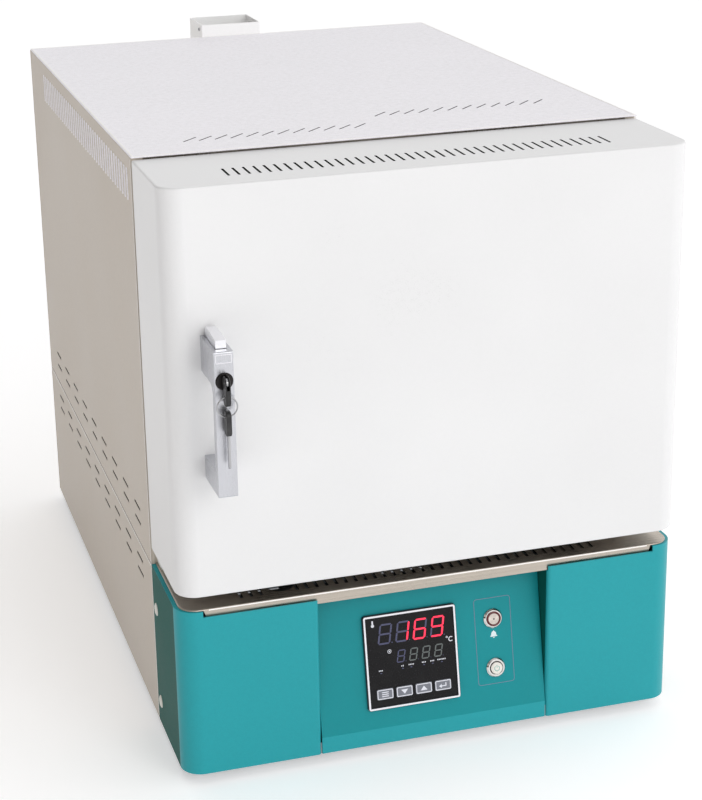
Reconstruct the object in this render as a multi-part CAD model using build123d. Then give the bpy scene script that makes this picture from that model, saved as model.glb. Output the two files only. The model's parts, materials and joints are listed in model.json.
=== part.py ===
from build123d import *
import math
import os

# Bench muffle furnace with a side-hung door.
# Frame: origin on the floor under the middle of the base, +Z up, -Y to the front (the door), +X to the
# operator's right. All sizes are in millimetres.

# ---------------------------------------------------------------- overall sizes
CAB_W = 508.0            # cabinet width over the side panels
CAB_DEPTH = 640.0        # door seam to the outside of the rear panels
BASE_REACH = 120.0       # how far the base stands out in front of the door seam
FOOT_H = 12.0
BASE_H = 170.0           # underside of the base to the seam between the side panels
UPPER_H = 412.0          # that seam to the top of the top cover
CORNER_R = 21.0          # rounded upright corners of the door and the base covers

# ---------------------------------------------------------------- sheet metal and clearances
SHEET = 1.5              # casing sheet
THIN = 1.0               # inner case, baffle and duct sheet
BEND_R = 3.0             # bend radius at the middle of the sheet
FIT = 0.3                # gap between loose-fitting neighbours
SEAM = 0.8               # open seam between upper and lower side panels
FLANGE = 12.0            # width of the folded edges

# ---------------------------------------------------------------- slot patterns
SIDE_SLOT = (3.0, 29.0)          # fine upright slots high on each side panel: width, height
SIDE_SLOTS = 41
SIDE_SLOT_PITCH = 12.8
SIDE_SLOT_DROP = 30.0            # centre of the slots below the top cover
SIDE_SLOT_SHIFT = -43.0          # middle of the slot row, along the panel, from its centre
LOUVRE = (28.0, 2.0)             # level slits near the seam: length, height
LOUVRES = 9
LOUVRE_PITCH = 62.5
LOUVRE_SHIFT = -8.0              # middle of the slit rows, along the panel, from its centre
LOUVRE_ROWS_UP = (24.0, 40.0)    # heights above the seam
LOUVRE_ROWS_DOWN = (17.5, 33.5)  # depths below the seam
HOOD_SLIT = (22.5, 1.6)          # diagonal slits near the front of the top cover
HOOD_SLITS = 12
HOOD_PITCH = 15.5
HOOD_GROUPS = ((-101.0, 52.0), (105.0, 98.0))   # group centre x, distance behind the front edge
DOOR_SLOT = (2.4, 28.0)
DOOR_SLOTS = 39
DOOR_SLOT_PITCH = 9.65
DOOR_SLOT_BACK = 45.0            # centre of the slots behind the door front
TRAY_SLOT = (3.0, 30.0)
TRAY_SLOT_PITCH = 9.8
TRAY_SLOT_BACK = 28.0            # centre of the slots behind the tray's fold
TRAY_GROUPS = ((-178.7, 3), (18.4, 32))         # group centre x, number of slots
TRAY_HOLE = (-147.0, 13.0)       # finger hole: x and radius
PAN_VENT = (60.0, 4.0)
PAN_VENTS = 8                    # in each of two columns under the base
PAN_VENT_PITCH = 18.0
PAN_VENT_X = 90.0
REAR_VENT = (90.0, 4.0)
REAR_VENTS = 5                   # in each of two columns on each rear panel
REAR_VENT_PITCH = 12.0
REAR_VENT_DOWN = 40.0            # first slit below the side seam or the top cover
REAR_VENT_X = 150.0
DECK_SLOT = (10.0, 60.0)
DECK_SLOT_PITCH = 100.0
DECK_SLOT_IN = 17.0              # slot centres in from the side panels

# ---------------------------------------------------------------- door
DOOR_T = 122.0           # thickness of the door shell
DOOR_GAP = 3.0           # seam between the door and the cabinet
DOOR_LOW = 18.5          # underside of the door above the side seam
DOOR_TOP_GAP = 1.5       # door top below the underside of the top cover
DOOR_EDGE_R = 2.0
DOOR_INSET = 0.5         # door narrower than the cabinet, each side
LINER_IN = 3.8           # rear face of the inner plate ahead of the door's rear edge
DOOR_WOOL = 48.0         # insulation thickness in the door
POCKET_HALF = 8.0        # half width of the keeper's opening in the inner plate
POCKET_DOWN = 15.0       # bottom of that opening below the latch rod's middle

# ---------------------------------------------------------------- heating chamber
CH_W = 250.0
CH_H = 160.0
CH_D = 400.0
LINING = 25.0            # chamber boards
SIDE_AIR = 29.0          # inner case in from the outside of the side panels
WOOL_TOP = 85.0          # insulation above and below
WOOL_REAR = 85.0
HEARTH_T = 8.0           # hearth plate on the chamber floor
RAIL_H = 14.0            # rails that carry the inner case
RAIL_HALF = 15.0         # half width of a rail's crown, and width of its flanges
RAIL_IN = 15.0           # rail centres inside the chamber boards' outer sides
RAIL_SHORT = 20.0        # rail ends short of the case at the front and rear
MOUTH_EDGE = 4.0         # front frame opening outside the chamber walls
PLUG_GAP = 4.0           # door plug inside the chamber walls, at its root
PLUG_REACH = 35.0
PLUG_TAPER = 8.0
PLUG_CORNER = 6.0
GASKET_R = 4.0
GASKET_OUT = 24.0        # centre line of the gasket outside the chamber walls
GASKET_BEND = 14.0

# ---------------------------------------------------------------- heating elements
ROD_R = 3.5
RUNS = 6
RUN_PITCH = 24.0
GROOVE_W = 10.0
GROOVE_D = 9.0
ELEMENT_FRONT = 35.0     # first bend behind the front frame
ELEMENT_REAR = 30.0      # rear bends ahead of the chamber's rear wall
ROD_TAIL = 36.0          # rod ends behind the inner case
BUSH_R = 8.0
BUSH_OUT = 12.0          # bushes stand out behind the inner case
CLAMP_GAP = 2.0
CLAMP = (14.0, 16.0)     # width and length of a clamp block
CLAMP_RISE = 11.0        # top of a clamp block above the rod's middle
PROBE_R = 4.0
PROBE_X = -60.0
PROBE_UP = 40.0          # probe above the middle of the chamber
PROBE_IN = 30.0          # probe tip ahead of the chamber's rear wall
COLLAR = (11.0, 5.0)     # radius and length of the probe's collar
HEAD = (16.0, 22.0)      # radius and length of the probe's connection head

# ---------------------------------------------------------------- base
PANEL_W = 234.6          # width of the recess for the control panel
PANEL_TILT = 0.19        # radians, top leaning back
PANEL_LIP = 18.0         # upright strip under the tilted panel
PANEL_GAP = 0.5
COVER_CUT = 5.9          # front covers lowered under the tray's lip
TRAY_T = 1.2
TRAY_LIP = 12.0
TRAY_LIFT = 2.8          # tray surface above the side seam
LIP_IN = 25.3            # ends of the tray's lip in from the cabinet's sides
LIP_TAPER = 4.0
TRAY_IN = 4.0            # tray's edges in from the cabinet's sides
PANEL_HIDE = 2.0         # panel's top edge above the underside of the lip
COVER_RETURN = 36.0      # front covers folded back into the panel's recess
FOOT_R = 20.0
FOOT_INSET = 50.0
COVER_SCREW_IN = 15.0    # cover screws ahead of the door seam
COVER_SCREW_UP = 27.0    # lower screw above the underside of the base
COVER_SCREW_DOWN = 41.0  # upper screw below the side seam
CAP_HEAD = (6.5, 1.7)    # snap-in caps over those screws: radius and height of the dome
CAP_STEM = (4.0, 3.5)    # radius and depth of the stem
GLAND_IN = 84.0          # gland in from the right side
GLAND_UP = 45.0          # gland above the underside of the base
GLAND_R = 10.0           # hole for the gland
GLAND_BORE = 5.0
PAD = (12.0, 20.0)       # rest pad under the door: width and depth
PAD_IN = 6.0
PAD_NOSE = 6.0

# ---------------------------------------------------------------- electrical parts in the base
POWER_IN = (124.0, 180.0)        # relay's middle in from the left side and from the rear
SINK = (84.0, 120.0, 27.0)       # heat sink: width, length, height
SINK_BASE = 6.0
FIN = 2.0
FIN_PITCH = 8.0
RELAY = (56.0, 44.0, 24.0)
RELAY_GROOVE = (20.0, 8.0)       # width and depth
TERMINALS = (70.0, 32.0, 38.0)
TERMINALS_IN = (64.0, 118.0)     # block in from the right side and from the rear
TERMINAL_BORE = (3.0, 8.0)       # radius and depth
TERMINAL_PITCH = 13.0

# ---------------------------------------------------------------- controls on the panel
CTL = 96.0               # temperature controller bezel
CTL_X = -20.9
CTL_UP = 84.0            # controller centre above the base pan, measured upright
BEZEL_H = 4.0
BEZEL_EDGE = 3.0
CTL_CASE = 80.0          # depth of the controller case behind the panel
CASE_IN = 3.0            # case inside the bezel, each side
CASE_FACE = -2.2         # front of the controller case behind the panel's face
FACE_DOWN = 0.8          # window below the top of the bezel
KEY = (17.0, 10.6)
KEY_PITCH = 20.0
KEY_DROP = 32.4          # keys below the controller centre
KEY_TRAVEL = 0.5
KEY_PROUD = 0.8
SWITCH_X = 66.6
SWITCH_V = (26.0, -24.5)         # switch centres up the panel from the controller centre
SWITCH_R = 10.0
BARREL_R = 8.0
CAP_R = 6.0
CAP_TRAVEL = 2.0
CAP_WELL = 14.0          # depth of the well that the cap slides in

# ---------------------------------------------------------------- handle and lock
GRIP_EDGE = 40.0         # middle of the handle in from the cabinet's side
GRIP_W = 17.5
GRIP_Z = 388.0           # middle of the handle
GRIP_H = 136.0
GRIP_OUT = 52.0          # front of the handle ahead of the door
GRIP_T = 9.5
UPPER_FOOT = 33.0
LOWER_FOOT = 22.0
LEVER_W = 9.5
LEVER_RISE = 9.0         # lever above the top of the handle
LEVER_PRESS = 8.0        # degrees
LEVER_FRONT = 43.0       # front of the lever ahead of the door
PIVOT_D = 7.0            # lever pivot in front of the door face
PIVOT_DOWN = 4.5         # lever pivot below the top of the handle
PIVOT_R = 1.5
TAIL = 18.0              # lever tail behind its pivot
SCREW_R = 2.5            # handle screws
SCREW_IN = 14.0
LOCK_R = 8.0
LOCK_DOWN = 27.0         # lock axis below the top of the handle
LOCK_DEEP = 18.0
BOW_D = 60.0             # plane of the key's pivot ahead of the door
BOW_UP = 1.0             # key's pivot above the lock axis
BOW_DROP = 13.0          # ring's hole below that pivot
BOW_L = 27.0
BOW_W = 13.0
BOW_T = 4.6
BOW_EYE = 6.0            # pivot below the bow's top end
SPARE_L = 23.0
SPARE_W = 11.5
SPARE_EYE = 5.6
TONGUE_T = 2.0           # thickness of the key blades
RING_R = 9.1
RING_WIRE = 0.65
RING_EYE_R = 2 * RING_WIRE         # holes that the ring hangs in
ROD_W = 5.0              # latch rod thickness
ROD_TALL = 8.0
ROD_DOWN = 12.0          # middle of the rod below the top of the handle
KEEPER_REACH = 16.0      # keeper tongue in front of the frame

# ---------------------------------------------------------------- hinges and duct
HINGE_R = 7.0
PIN_R = 4.0
LEAF_T = 3.0
LEAF_L = 40.0
HINGE_H = 60.0
HINGE_INSET = 65.0       # hinge centres from the door's ends
CHIMNEY = (75.0, 68.0)   # outside width and depth
CHIMNEY_TOP = 14.5       # rim above the top cover
CHIMNEY_DROP = 45.0      # bottom below the exhaust tube
EXHAUST_R = 15.0
EXHAUST_BORE = 10.0
EXHAUST_DOWN = 26.0      # tube axis below the chamber roof

# ---------------------------------------------------------------- places worked out from the sizes
HALF_W = CAB_W / 2
FRONT_Y = -(CAB_DEPTH + BASE_REACH) / 2
REAR_Y = -FRONT_Y
SEAM_Y = FRONT_Y + BASE_REACH
BASE_Z = FOOT_H
SEAM_Z = FOOT_H + BASE_H
TOP_Z = SEAM_Z + UPPER_H
DECK_Z = SEAM_Z + SHEET
FRAME_Y = SEAM_Y + SHEET + FIT           # front face of the front frame
FRAME_BACK = FRAME_Y + SHEET
CASE_Z0 = DECK_Z + RAIL_H
WOOL_Z0 = CASE_Z0 + THIN
LINE_Z0 = WOOL_Z0 + WOOL_TOP
FLOOR_Z = LINE_Z0 + LINING
ROOF_Z = FLOOR_Z + CH_H
LINE_Z1 = ROOF_Z + LINING
WOOL_Z1 = LINE_Z1 + WOOL_TOP
CHAMBER_Z = (FLOOR_Z + ROOF_Z) / 2
LINE_X = CH_W / 2 + LINING
CASE_X = HALF_W - SIDE_AIR
CH_REAR = FRAME_BACK + CH_D
LINE_REAR = CH_REAR + LINING
CASE_REAR = LINE_REAR + WOOL_REAR
DOOR_Y1 = SEAM_Y - DOOR_GAP              # rear edge of the door shell
DOOR_Y0 = DOOR_Y1 - DOOR_T               # front of the door
DOOR_Z0 = SEAM_Z + DOOR_LOW
DOOR_Z1 = TOP_Z - SHEET - DOOR_TOP_GAP
DOOR_X = HALF_W - DOOR_INSET
LINER_Y = DOOR_Y1 - LINER_IN             # rear face of the inner plate
WOOL_FRONT = LINER_Y - SHEET - DOOR_WOOL
TRAY_Z = SEAM_Z + TRAY_LIFT              # tray surface
COVER_TOP = TRAY_Z - TRAY_T - FIT
LIP_Y = FRONT_Y + SHEET + FIT            # front of the tray's lip
LIP_HALF = HALF_W - LIP_IN
GRIP_X = -(HALF_W - GRIP_EDGE)
GRIP_TOP = GRIP_Z + GRIP_H / 2
GRIP_LOW = GRIP_Z - GRIP_H / 2
GRIP_Y = DOOR_Y0 - GRIP_OUT              # front face of the handle
HINGE_X = HALF_W + HINGE_R + FIT
EXHAUST_Z = ROOF_Z - EXHAUST_DOWN
PANEL_HALF = PANEL_W / 2
PANEL_PIVOT_Z = BASE_Z + PANEL_LIP
PANEL_TOP_Z = TRAY_Z - TRAY_LIP + PANEL_HIDE
TILT_T = math.tan(PANEL_TILT)
CTL_Z = BASE_Z + CTL_UP
PLUG_Y = SEAM_Y - COVER_SCREW_IN
PLUG_HEIGHTS = (BASE_Z + COVER_SCREW_UP, SEAM_Z - COVER_SCREW_DOWN)
GLAND_X = HALF_W - GLAND_IN
GLAND_Z = BASE_Z + GLAND_UP
CHIMNEY_Y0 = REAR_Y
PROBE_Z = CHAMBER_Z + PROBE_UP
RUN_X = CH_W / 2 + GROOVE_D - ROD_R - FIT        # rod centres from the chamber's middle plane
ROD_Z = GRIP_TOP - ROD_DOWN              # middle of the latch rod
LIFT = TAIL * math.sin(math.radians(LEVER_PRESS))    # how far the lever raises the rod
KEEPER_Y = FRAME_Y - KEEPER_REACH
LOCK_Z = GRIP_TOP - LOCK_DOWN
PIVOT_Z = GRIP_TOP - PIVOT_DOWN
BOW_PIVOT_Z = LOCK_Z + BOW_UP
BOW_HOLE_Z = BOW_PIVOT_Z - BOW_DROP


def block(x0, x1, y0, y1, z0, z1):
    """Board or plate between two corners."""
    middle = Pos((x0 + x1) / 2, (y0 + y1) / 2, (z0 + z1) / 2)
    return middle * Box(x1 - x0, y1 - y0, z1 - z0)


def strip(points, thickness, radius=BEND_R):
    """Section of a bent sheet whose middle follows the points."""
    return trace(FilletPolyline(*points, radius=radius), thickness)


def rod(radius, y0, y1, x, z):
    """Round bar along Y."""
    return Pos(x, (y0 + y1) / 2, z) * Rot(90, 0, 0) * Cylinder(radius, y1 - y0)


def upright(radius, z0, z1, x, y):
    """Round bar along Z."""
    return Pos(x, y, (z0 + z1) / 2) * Cylinder(radius, z1 - z0)


def row(count, pitch):
    """Centres of an evenly spaced row about zero."""
    return [(i - (count - 1) / 2) * pitch for i in range(count)]


def group(shapes):
    """Loose like pieces kept together in one node."""
    return Compound(children=list(shapes))


def mirrored(shape):
    return mirror(shape, about=Plane.YZ)


# ---------------------------------------------------------------- base
def base_pan():
    depth = CAB_DEPTH + BASE_REACH - 2 * SHEET - 2 * FIT
    width = CAB_W - 2 * SHEET - 2 * FIT
    outline = Rectangle(width, depth)
    front = outline.vertices().group_by(Axis.Y)[0]
    outline = fillet(front, CORNER_R - SHEET - FIT)
    pan = Pos(0, 0, BASE_Z) * extrude(outline, FLANGE)
    pan = offset(pan, amount=-SHEET, openings=pan.faces().sort_by(Axis.Z)[-1])
    for x in (-PAN_VENT_X, PAN_VENT_X):
        pan = pan - [Pos(x, y, BASE_Z) * Box(*PAN_VENT, 4 * SHEET) for y in row(PAN_VENTS, PAN_VENT_PITCH)]
    return pan


def feet():
    profile = Polyline(
        (0, 0), (FOOT_R * 0.85, 0), (FOOT_R, FOOT_H), (FOOT_R * 0.4, FOOT_H), (0, FOOT_H), close=True
    )
    foot = revolve(make_face(Plane.XZ * profile), Axis.Z)
    x = HALF_W - FOOT_INSET
    y = REAR_Y - FOOT_INSET
    return group(Pos(sx * x, sy * y, 0) * foot for sx in (-1, 1) for sy in (-1, 1))


def front_cover_left():
    """Cover that wraps round the front corner of the base, from the panel's recess to the side."""
    half = SHEET / 2
    inner = [
        (-PANEL_HALF - half, FRONT_Y + COVER_RETURN),
        (-PANEL_HALF - half, FRONT_Y + half),
        (-HALF_W + half, FRONT_Y + half),
        (-HALF_W + half, SEAM_Y - FIT),
    ]
    wall = strip(inner, SHEET, [BEND_R, CORNER_R - half])
    cover = Pos(0, 0, BASE_Z) * extrude(wall, COVER_TOP - BASE_Z)
    cut_low = COVER_TOP - COVER_CUT
    lip_zone = block(-LIP_HALF - 1, -PANEL_HALF + 1, FRONT_Y - 1, FRONT_Y + 8, cut_low, TRAY_Z)
    fold_x = -PANEL_HALF - 10
    fold_y0 = FRONT_Y + SHEET
    fold_y1 = FRONT_Y + COVER_RETURN + 4
    lip_path = block(fold_x, 0, fold_y0, fold_y1, TRAY_Z - TRAY_LIP - FIT, TRAY_Z)
    over_pan = block(fold_x, 0, fold_y0, fold_y1, BASE_Z - 1, BASE_Z + FLANGE + FIT)
    cover = cover - lip_zone - lip_path - over_pan
    corner = fillet(Rectangle(CAB_W, 2 * BASE_REACH).vertices().group_by(Axis.Y)[0], CORNER_R)
    corner = Pos(0, SEAM_Y, 0) * corner
    ring = corner - offset(corner, -FLANGE)
    keep = Rectangle(2 * LIP_IN - 2, BASE_REACH - 2 * FIT)
    rim = ring & Pos(-HALF_W, SEAM_Y - BASE_REACH / 2, 0) * keep
    cover = cover + Pos(0, 0, COVER_TOP - SHEET) * extrude(rim, SHEET)
    for z in PLUG_HEIGHTS:
        cover = cover - Pos(-HALF_W, PLUG_Y, z) * Rot(0, 90, 0) * Cylinder(CAP_STEM[0] + FIT, 4 * SHEET)
    return cover


def side_plugs():
    """Snap-in caps over the cover screws: a low dome on a stem."""
    head_r, dome = CAP_HEAD
    stem_r, deep = CAP_STEM
    profile = Polyline(
        (0, -deep), (stem_r, -deep), (stem_r, 0), (head_r, 0), (head_r, 0.5), (head_r - 1.9, dome - 0.3),
        (0, dome), close=True,
    )
    plug = revolve(make_face(Plane.XZ * profile), Axis.Z)
    right = [Pos(HALF_W, PLUG_Y, z) * Rot(0, 90, 0) * plug for z in PLUG_HEIGHTS]
    return group(right + [mirrored(p) for p in right])


def panel_y(z):
    """Outer face of the tilted panel at a height."""
    return FRONT_Y + (z - PANEL_PIVOT_Z) * TILT_T


CTL_PLANE = Plane(
    origin=(0, panel_y(CTL_Z), CTL_Z),
    x_dir=(1, 0, 0),
    z_dir=(0, -math.cos(PANEL_TILT), math.sin(PANEL_TILT)),
)


def on_panel(x, v, w=0.0):
    """Place on the tilted panel: across, up the slope and out of it."""
    return CTL_PLANE * Pos(x, v, w)


def control_panel():
    half = SHEET / 2
    top_y = panel_y(PANEL_TOP_Z) + half
    section = [
        (top_y + FLANGE, PANEL_TOP_Z - half),
        (top_y, PANEL_TOP_Z - half),
        (FRONT_Y + half, PANEL_PIVOT_Z),
        (FRONT_Y + half, BASE_Z + FIT),
    ]
    width = PANEL_W - 2 * PANEL_GAP
    panel = extrude(Plane.YZ * strip(section, SHEET, 2.0), width / 2, both=True)
    opening = CTL - 2 * CASE_IN + 2
    panel = panel - on_panel(CTL_X, 0) * Box(opening, opening, 8 * SHEET)
    for v in SWITCH_V:
        panel = panel - on_panel(SWITCH_X, v) * Cylinder(BARREL_R + FIT, 8 * SHEET)
    return panel


def drip_tray():
    """Slotted tray that lies on the base under the door, with a lip folded down at the front."""
    half_w = HALF_W - TRAY_IN
    rear = SEAM_Y - FIT
    depth = rear - LIP_Y
    outline = Rectangle(2 * half_w, depth)
    outline = fillet(outline.vertices().group_by(Axis.Y)[0], CORNER_R - TRAY_IN)
    sheet = Pos(0, (rear + LIP_Y) / 2, 0) * outline
    slot_y = LIP_Y + TRAY_SLOT_BACK
    for centre, count in TRAY_GROUPS:
        spots = [(centre + x, slot_y) for x in row(count, TRAY_SLOT_PITCH)]
        sheet = sheet - [Pos(x, y) * Rectangle(*TRAY_SLOT) for x, y in spots]
    sheet = sheet - Pos(TRAY_HOLE[0], slot_y) * Circle(TRAY_HOLE[1])
    tray = Pos(0, 0, TRAY_Z - TRAY_T) * extrude(sheet, TRAY_T)
    lip = Polyline(
        (-LIP_HALF, TRAY_Z - TRAY_T), (LIP_HALF, TRAY_Z - TRAY_T), (LIP_HALF - LIP_TAPER, TRAY_Z - TRAY_LIP),
        (-LIP_HALF + LIP_TAPER, TRAY_Z - TRAY_LIP), close=True,
    )
    lip = Pos(0, LIP_Y + TRAY_T, 0) * extrude(make_face(Plane.XZ * lip), TRAY_T)
    tray = tray + lip
    fold = tray.edges().filter_by(Axis.X).group_by(Axis.Y)[0].sort_by(Axis.Z)[-1]
    return fillet(fold, 0.9 * TRAY_T)


def side_sheet(z0, z1):
    """Left side panel between two heights, with its front and rear edges folded in."""
    half = SHEET / 2
    x = -HALF_W + half
    y0 = SEAM_Y + half
    y1 = REAR_Y - SHEET - FIT - half
    fold = -HALF_W + FLANGE
    plan = strip([(fold, y0), (x, y0), (x, y1), (fold, y1)], SHEET)
    return Pos(0, 0, z0) * extrude(plan, z1 - z0)


def lower_side_left():
    panel = side_sheet(BASE_Z, SEAM_Z - SEAM / 2)
    over_pan = block(-HALF_W + SHEET + FIT / 2, 0, FRONT_Y, REAR_Y, BASE_Z - 1, BASE_Z + FLANGE + FIT)
    panel = panel - over_pan
    return panel - louvre_cutters([SEAM_Z - drop for drop in LOUVRE_ROWS_DOWN])


def louvre_cutters(heights):
    """Cutters for the rows of level slits in the left side panels."""
    middle = (SEAM_Y + REAR_Y) / 2 + LOUVRE_SHIFT
    return [
        Pos(-HALF_W, middle + y, z) * Box(6 * SHEET, *LOUVRE)
        for z in heights
        for y in row(LOUVRES, LOUVRE_PITCH)
    ]


def upper_side_left():
    panel = side_sheet(SEAM_Z + SEAM / 2, TOP_Z - SHEET)
    panel = panel - louvre_cutters([SEAM_Z + rise for rise in LOUVRE_ROWS_UP])
    middle = (SEAM_Y + REAR_Y) / 2 + SIDE_SLOT_SHIFT
    z = TOP_Z - SIDE_SLOT_DROP
    slots = [
        Pos(-HALF_W, middle + y, z) * Box(6 * SHEET, *SIDE_SLOT)
        for y in row(SIDE_SLOTS, SIDE_SLOT_PITCH)
    ]
    return panel - slots


def top_cover():
    """Flat cover with edges folded down inside the side and rear panels."""
    half = SHEET / 2
    front = SEAM_Y - 2.5
    plate = Pos(0, (front + REAR_Y) / 2) * Rectangle(CAB_W, REAR_Y - front)
    for x_mid, back in HOOD_GROUPS:
        for x in row(HOOD_SLITS, HOOD_PITCH):
            plate = plate - Pos(x_mid + x, SEAM_Y + back) * Rot(0, 0, 45) * Rectangle(*HOOD_SLIT)
    cover = Pos(0, 0, TOP_Z - SHEET) * extrude(plate, SHEET)
    x_in = HALF_W - SHEET - FIT
    y_in = REAR_Y - 2 * SHEET - 2 * FIT - FLANGE
    edge_z = TOP_Z - SHEET
    for side in (-1, 1):
        x0, x1 = sorted((side * x_in, side * (x_in - SHEET)))
        cover = cover + block(x0, x1, SEAM_Y + FLANGE + FIT, y_in, edge_z - 10, edge_z)
    return cover


def rear_panel(z0, z1, vents_from):
    """Flat rear sheet with two columns of slits under a height."""
    plate = Pos(0, (z0 + z1) / 2) * Rectangle(CAB_W, z1 - z0)
    for i in range(REAR_VENTS):
        for x in (-REAR_VENT_X, REAR_VENT_X):
            z = vents_from - REAR_VENT_DOWN - i * REAR_VENT_PITCH
            plate = plate - Pos(x, z) * Rectangle(*REAR_VENT)
    sheet = extrude(Plane.XZ * plate, SHEET)
    return Pos(0, REAR_Y, 0) * sheet


def lower_rear_panel():
    panel = rear_panel(BASE_Z, SEAM_Z - SEAM / 2, SEAM_Z)
    return panel - rod(GLAND_R, REAR_Y - 10, REAR_Y + 10, GLAND_X, GLAND_Z)


def upper_rear_panel():
    panel = rear_panel(SEAM_Z + SEAM / 2, TOP_Z - SHEET, TOP_Z)
    return panel - rod(EXHAUST_R + 1, REAR_Y - 10, REAR_Y + 10, 0, EXHAUST_Z)


def cable_gland():
    """Gland body with its flange, hexagon and clamping nut; the bore takes the mains lead."""
    stem = GLAND_R - 0.2
    profile = Polyline(
        (GLAND_BORE, -12), (stem, -12), (stem, 0), (14, 0), (14, 6), (12.5, 6), (12.5, 20), (8.5, 26),
        (GLAND_BORE, 26), close=True,
    )
    body = revolve(make_face(Plane.XZ * profile), Axis.Z)
    hexagon = extrude(RegularPolygon(14, 6, major_radius=False), 6)
    body = body + (hexagon - Cylinder(9, 40))
    return Pos(GLAND_X, REAR_Y, GLAND_Z) * Rot(-90, 0, 0) * body


def deck_plate():
    """Floor of the upper cabinet, with air slots beside the inner case."""
    x = HALF_W - SHEET - BEND_R
    y1 = REAR_Y - SHEET - FIT - FLANGE
    plate = block(-x, x, FRAME_Y, y1, SEAM_Z, DECK_Z)
    count = int((y1 - FRAME_Y) / DECK_SLOT_PITCH) - 1
    slot = Box(*DECK_SLOT, 6 * SHEET)
    for slot_x in (DECK_SLOT_IN - HALF_W, HALF_W - DECK_SLOT_IN):
        plate = plate - [Pos(slot_x, y, SEAM_Z) * slot for y in row(count, DECK_SLOT_PITCH)]
    return plate


def front_frame():
    """Upright plate behind the door with the chamber mouth and the hole for the latch keeper."""
    x = HALF_W - SHEET - BEND_R
    z0 = DECK_Z
    z1 = TOP_Z - SHEET
    plate = Pos(0, (z0 + z1) / 2) * Rectangle(2 * x, z1 - z0)
    mouth = RectangleRounded(CH_W + 2 * MOUTH_EDGE, CH_H + 2 * MOUTH_EDGE, 4)
    plate = plate - Pos(0, CHAMBER_Z) * mouth
    return Pos(0, FRAME_BACK, 0) * extrude(Plane.XZ * plate, SHEET)


# ---------------------------------------------------------------- inner case, insulation and chamber
def case_rails():
    """Hat-section rails on the deck that carry the inner case."""
    h = RAIL_H - THIN
    half = THIN / 2
    crown = RAIL_HALF
    foot = 2 * RAIL_HALF
    left = [(-foot, half), (-crown, half), (-crown, h + half)]
    section = strip(left + [(crown, h + half), (crown, half), (foot, half)], THIN, 1.2)
    rail = extrude(Plane.XZ * section, (CASE_REAR - FRAME_BACK) / 2 - RAIL_SHORT, both=True)
    y = (FRAME_BACK + CASE_REAR) / 2
    return [Pos(side * (LINE_X - RAIL_IN), y, DECK_Z) * rail for side in (-1, 1)]


def case_side(side):
    x0, x1 = sorted((side * CASE_X, side * (CASE_X + THIN)))
    return block(x0, x1, FRAME_BACK, CASE_REAR, CASE_Z0, WOOL_Z1 + THIN)


def case_rear():
    plate = block(-CASE_X - THIN, CASE_X + THIN, CASE_REAR, CASE_REAR + THIN, CASE_Z0, WOOL_Z1 + THIN)
    return plate - rear_bores(CASE_REAR - 5, CASE_REAR + 5, 0.5)


def rear_bores(y0, y1, clearance):
    """Cutters for what passes through the rear: rod bushes, exhaust tube and thermocouple."""
    cutters = [rod(BUSH_R + clearance, y0, y1, x, z) for x, z in tail_places()]
    cutters.append(rod(EXHAUST_R + clearance, y0, y1, 0, EXHAUST_Z))
    cutters.append(rod(PROBE_R + clearance, y0, y1, PROBE_X, PROBE_Z))
    return cutters


def tail_places():
    """Where the ends of both elements leave the chamber, x and z."""
    rise = (RUNS - 1) * RUN_PITCH / 2
    return [(side * RUN_X, CHAMBER_Z + up) for side in (-1, 1) for up in (-rise, rise)]


def element_path(rear):
    """Level runs joined by half-round bends, in the plane of a side wall: y across, z up."""
    front_bend = FRAME_BACK + ELEMENT_FRONT
    rear_bend = CH_REAR - ELEMENT_REAR
    points = []
    for i, up in enumerate(row(RUNS, RUN_PITCH)):
        ends = [rear_bend, front_bend]
        if i == 0:
            ends[0] = rear
        if i % 2:
            ends.reverse()
        if i == RUNS - 1:
            ends[1] = rear
        points += [(y, CHAMBER_Z + up) for y in ends]
    return FilletPolyline(*points, radius=RUN_PITCH / 2 - 0.05)


def heating_element(side):
    """Resistance rod bent to and fro in the grooves of one side wall."""
    path = Plane.YZ.offset(side * RUN_X) * element_path(CASE_REAR + ROD_TAIL)
    start = path @ 0
    section = Plane(origin=start, x_dir=(1, 0, 0), z_dir=path % 0) * Circle(ROD_R)
    return sweep(section, path=path)


def lining_side(side):
    """Chamber side board with the grooves that hold the element."""
    x_in = side * CH_W / 2
    x0, x1 = sorted((x_in, side * LINE_X))
    board = block(x0, x1, FRAME_BACK, LINE_REAR, FLOOR_Z - HEARTH_T, ROOF_Z)
    groove = trace(element_path(LINE_REAR + 1), GROOVE_W)
    cutter = extrude(Plane.YZ.offset(x_in) * groove, side * GROOVE_D)
    return board - cutter


def lining_rear():
    board = block(-CH_W / 2, CH_W / 2, CH_REAR, LINE_REAR, FLOOR_Z - HEARTH_T, ROOF_Z)
    board = board - rod(EXHAUST_R + FIT, CH_REAR - 5, LINE_REAR + 5, 0, EXHAUST_Z)
    return board - rod(PROBE_R + FIT, CH_REAR - 5, LINE_REAR + 5, PROBE_X, PROBE_Z)


def hearth_plate():
    edge = 1.0
    plate = block(
        -CH_W / 2 + edge, CH_W / 2 - edge, FRAME_BACK + 12, CH_REAR - edge, FLOOR_Z - HEARTH_T, FLOOR_Z
    )
    return fillet(plate.edges().filter_by(Axis.Z), 6)


def rear_wool():
    board = block(-LINE_X, LINE_X, LINE_REAR, CASE_REAR, LINE_Z0, LINE_Z1)
    return board - rear_bores(LINE_REAR - 5, CASE_REAR + 5, FIT)


def element_bushes():
    """Ceramic tubes that carry the rod ends through the rear insulation."""
    tubes = []
    for x, z in tail_places():
        tube = rod(BUSH_R, LINE_REAR + FIT, CASE_REAR + BUSH_OUT, x, z)
        tubes.append(tube - rod(ROD_R + FIT, LINE_REAR, CASE_REAR + BUSH_OUT + 1, x, z))
    return group(tubes)


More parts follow.
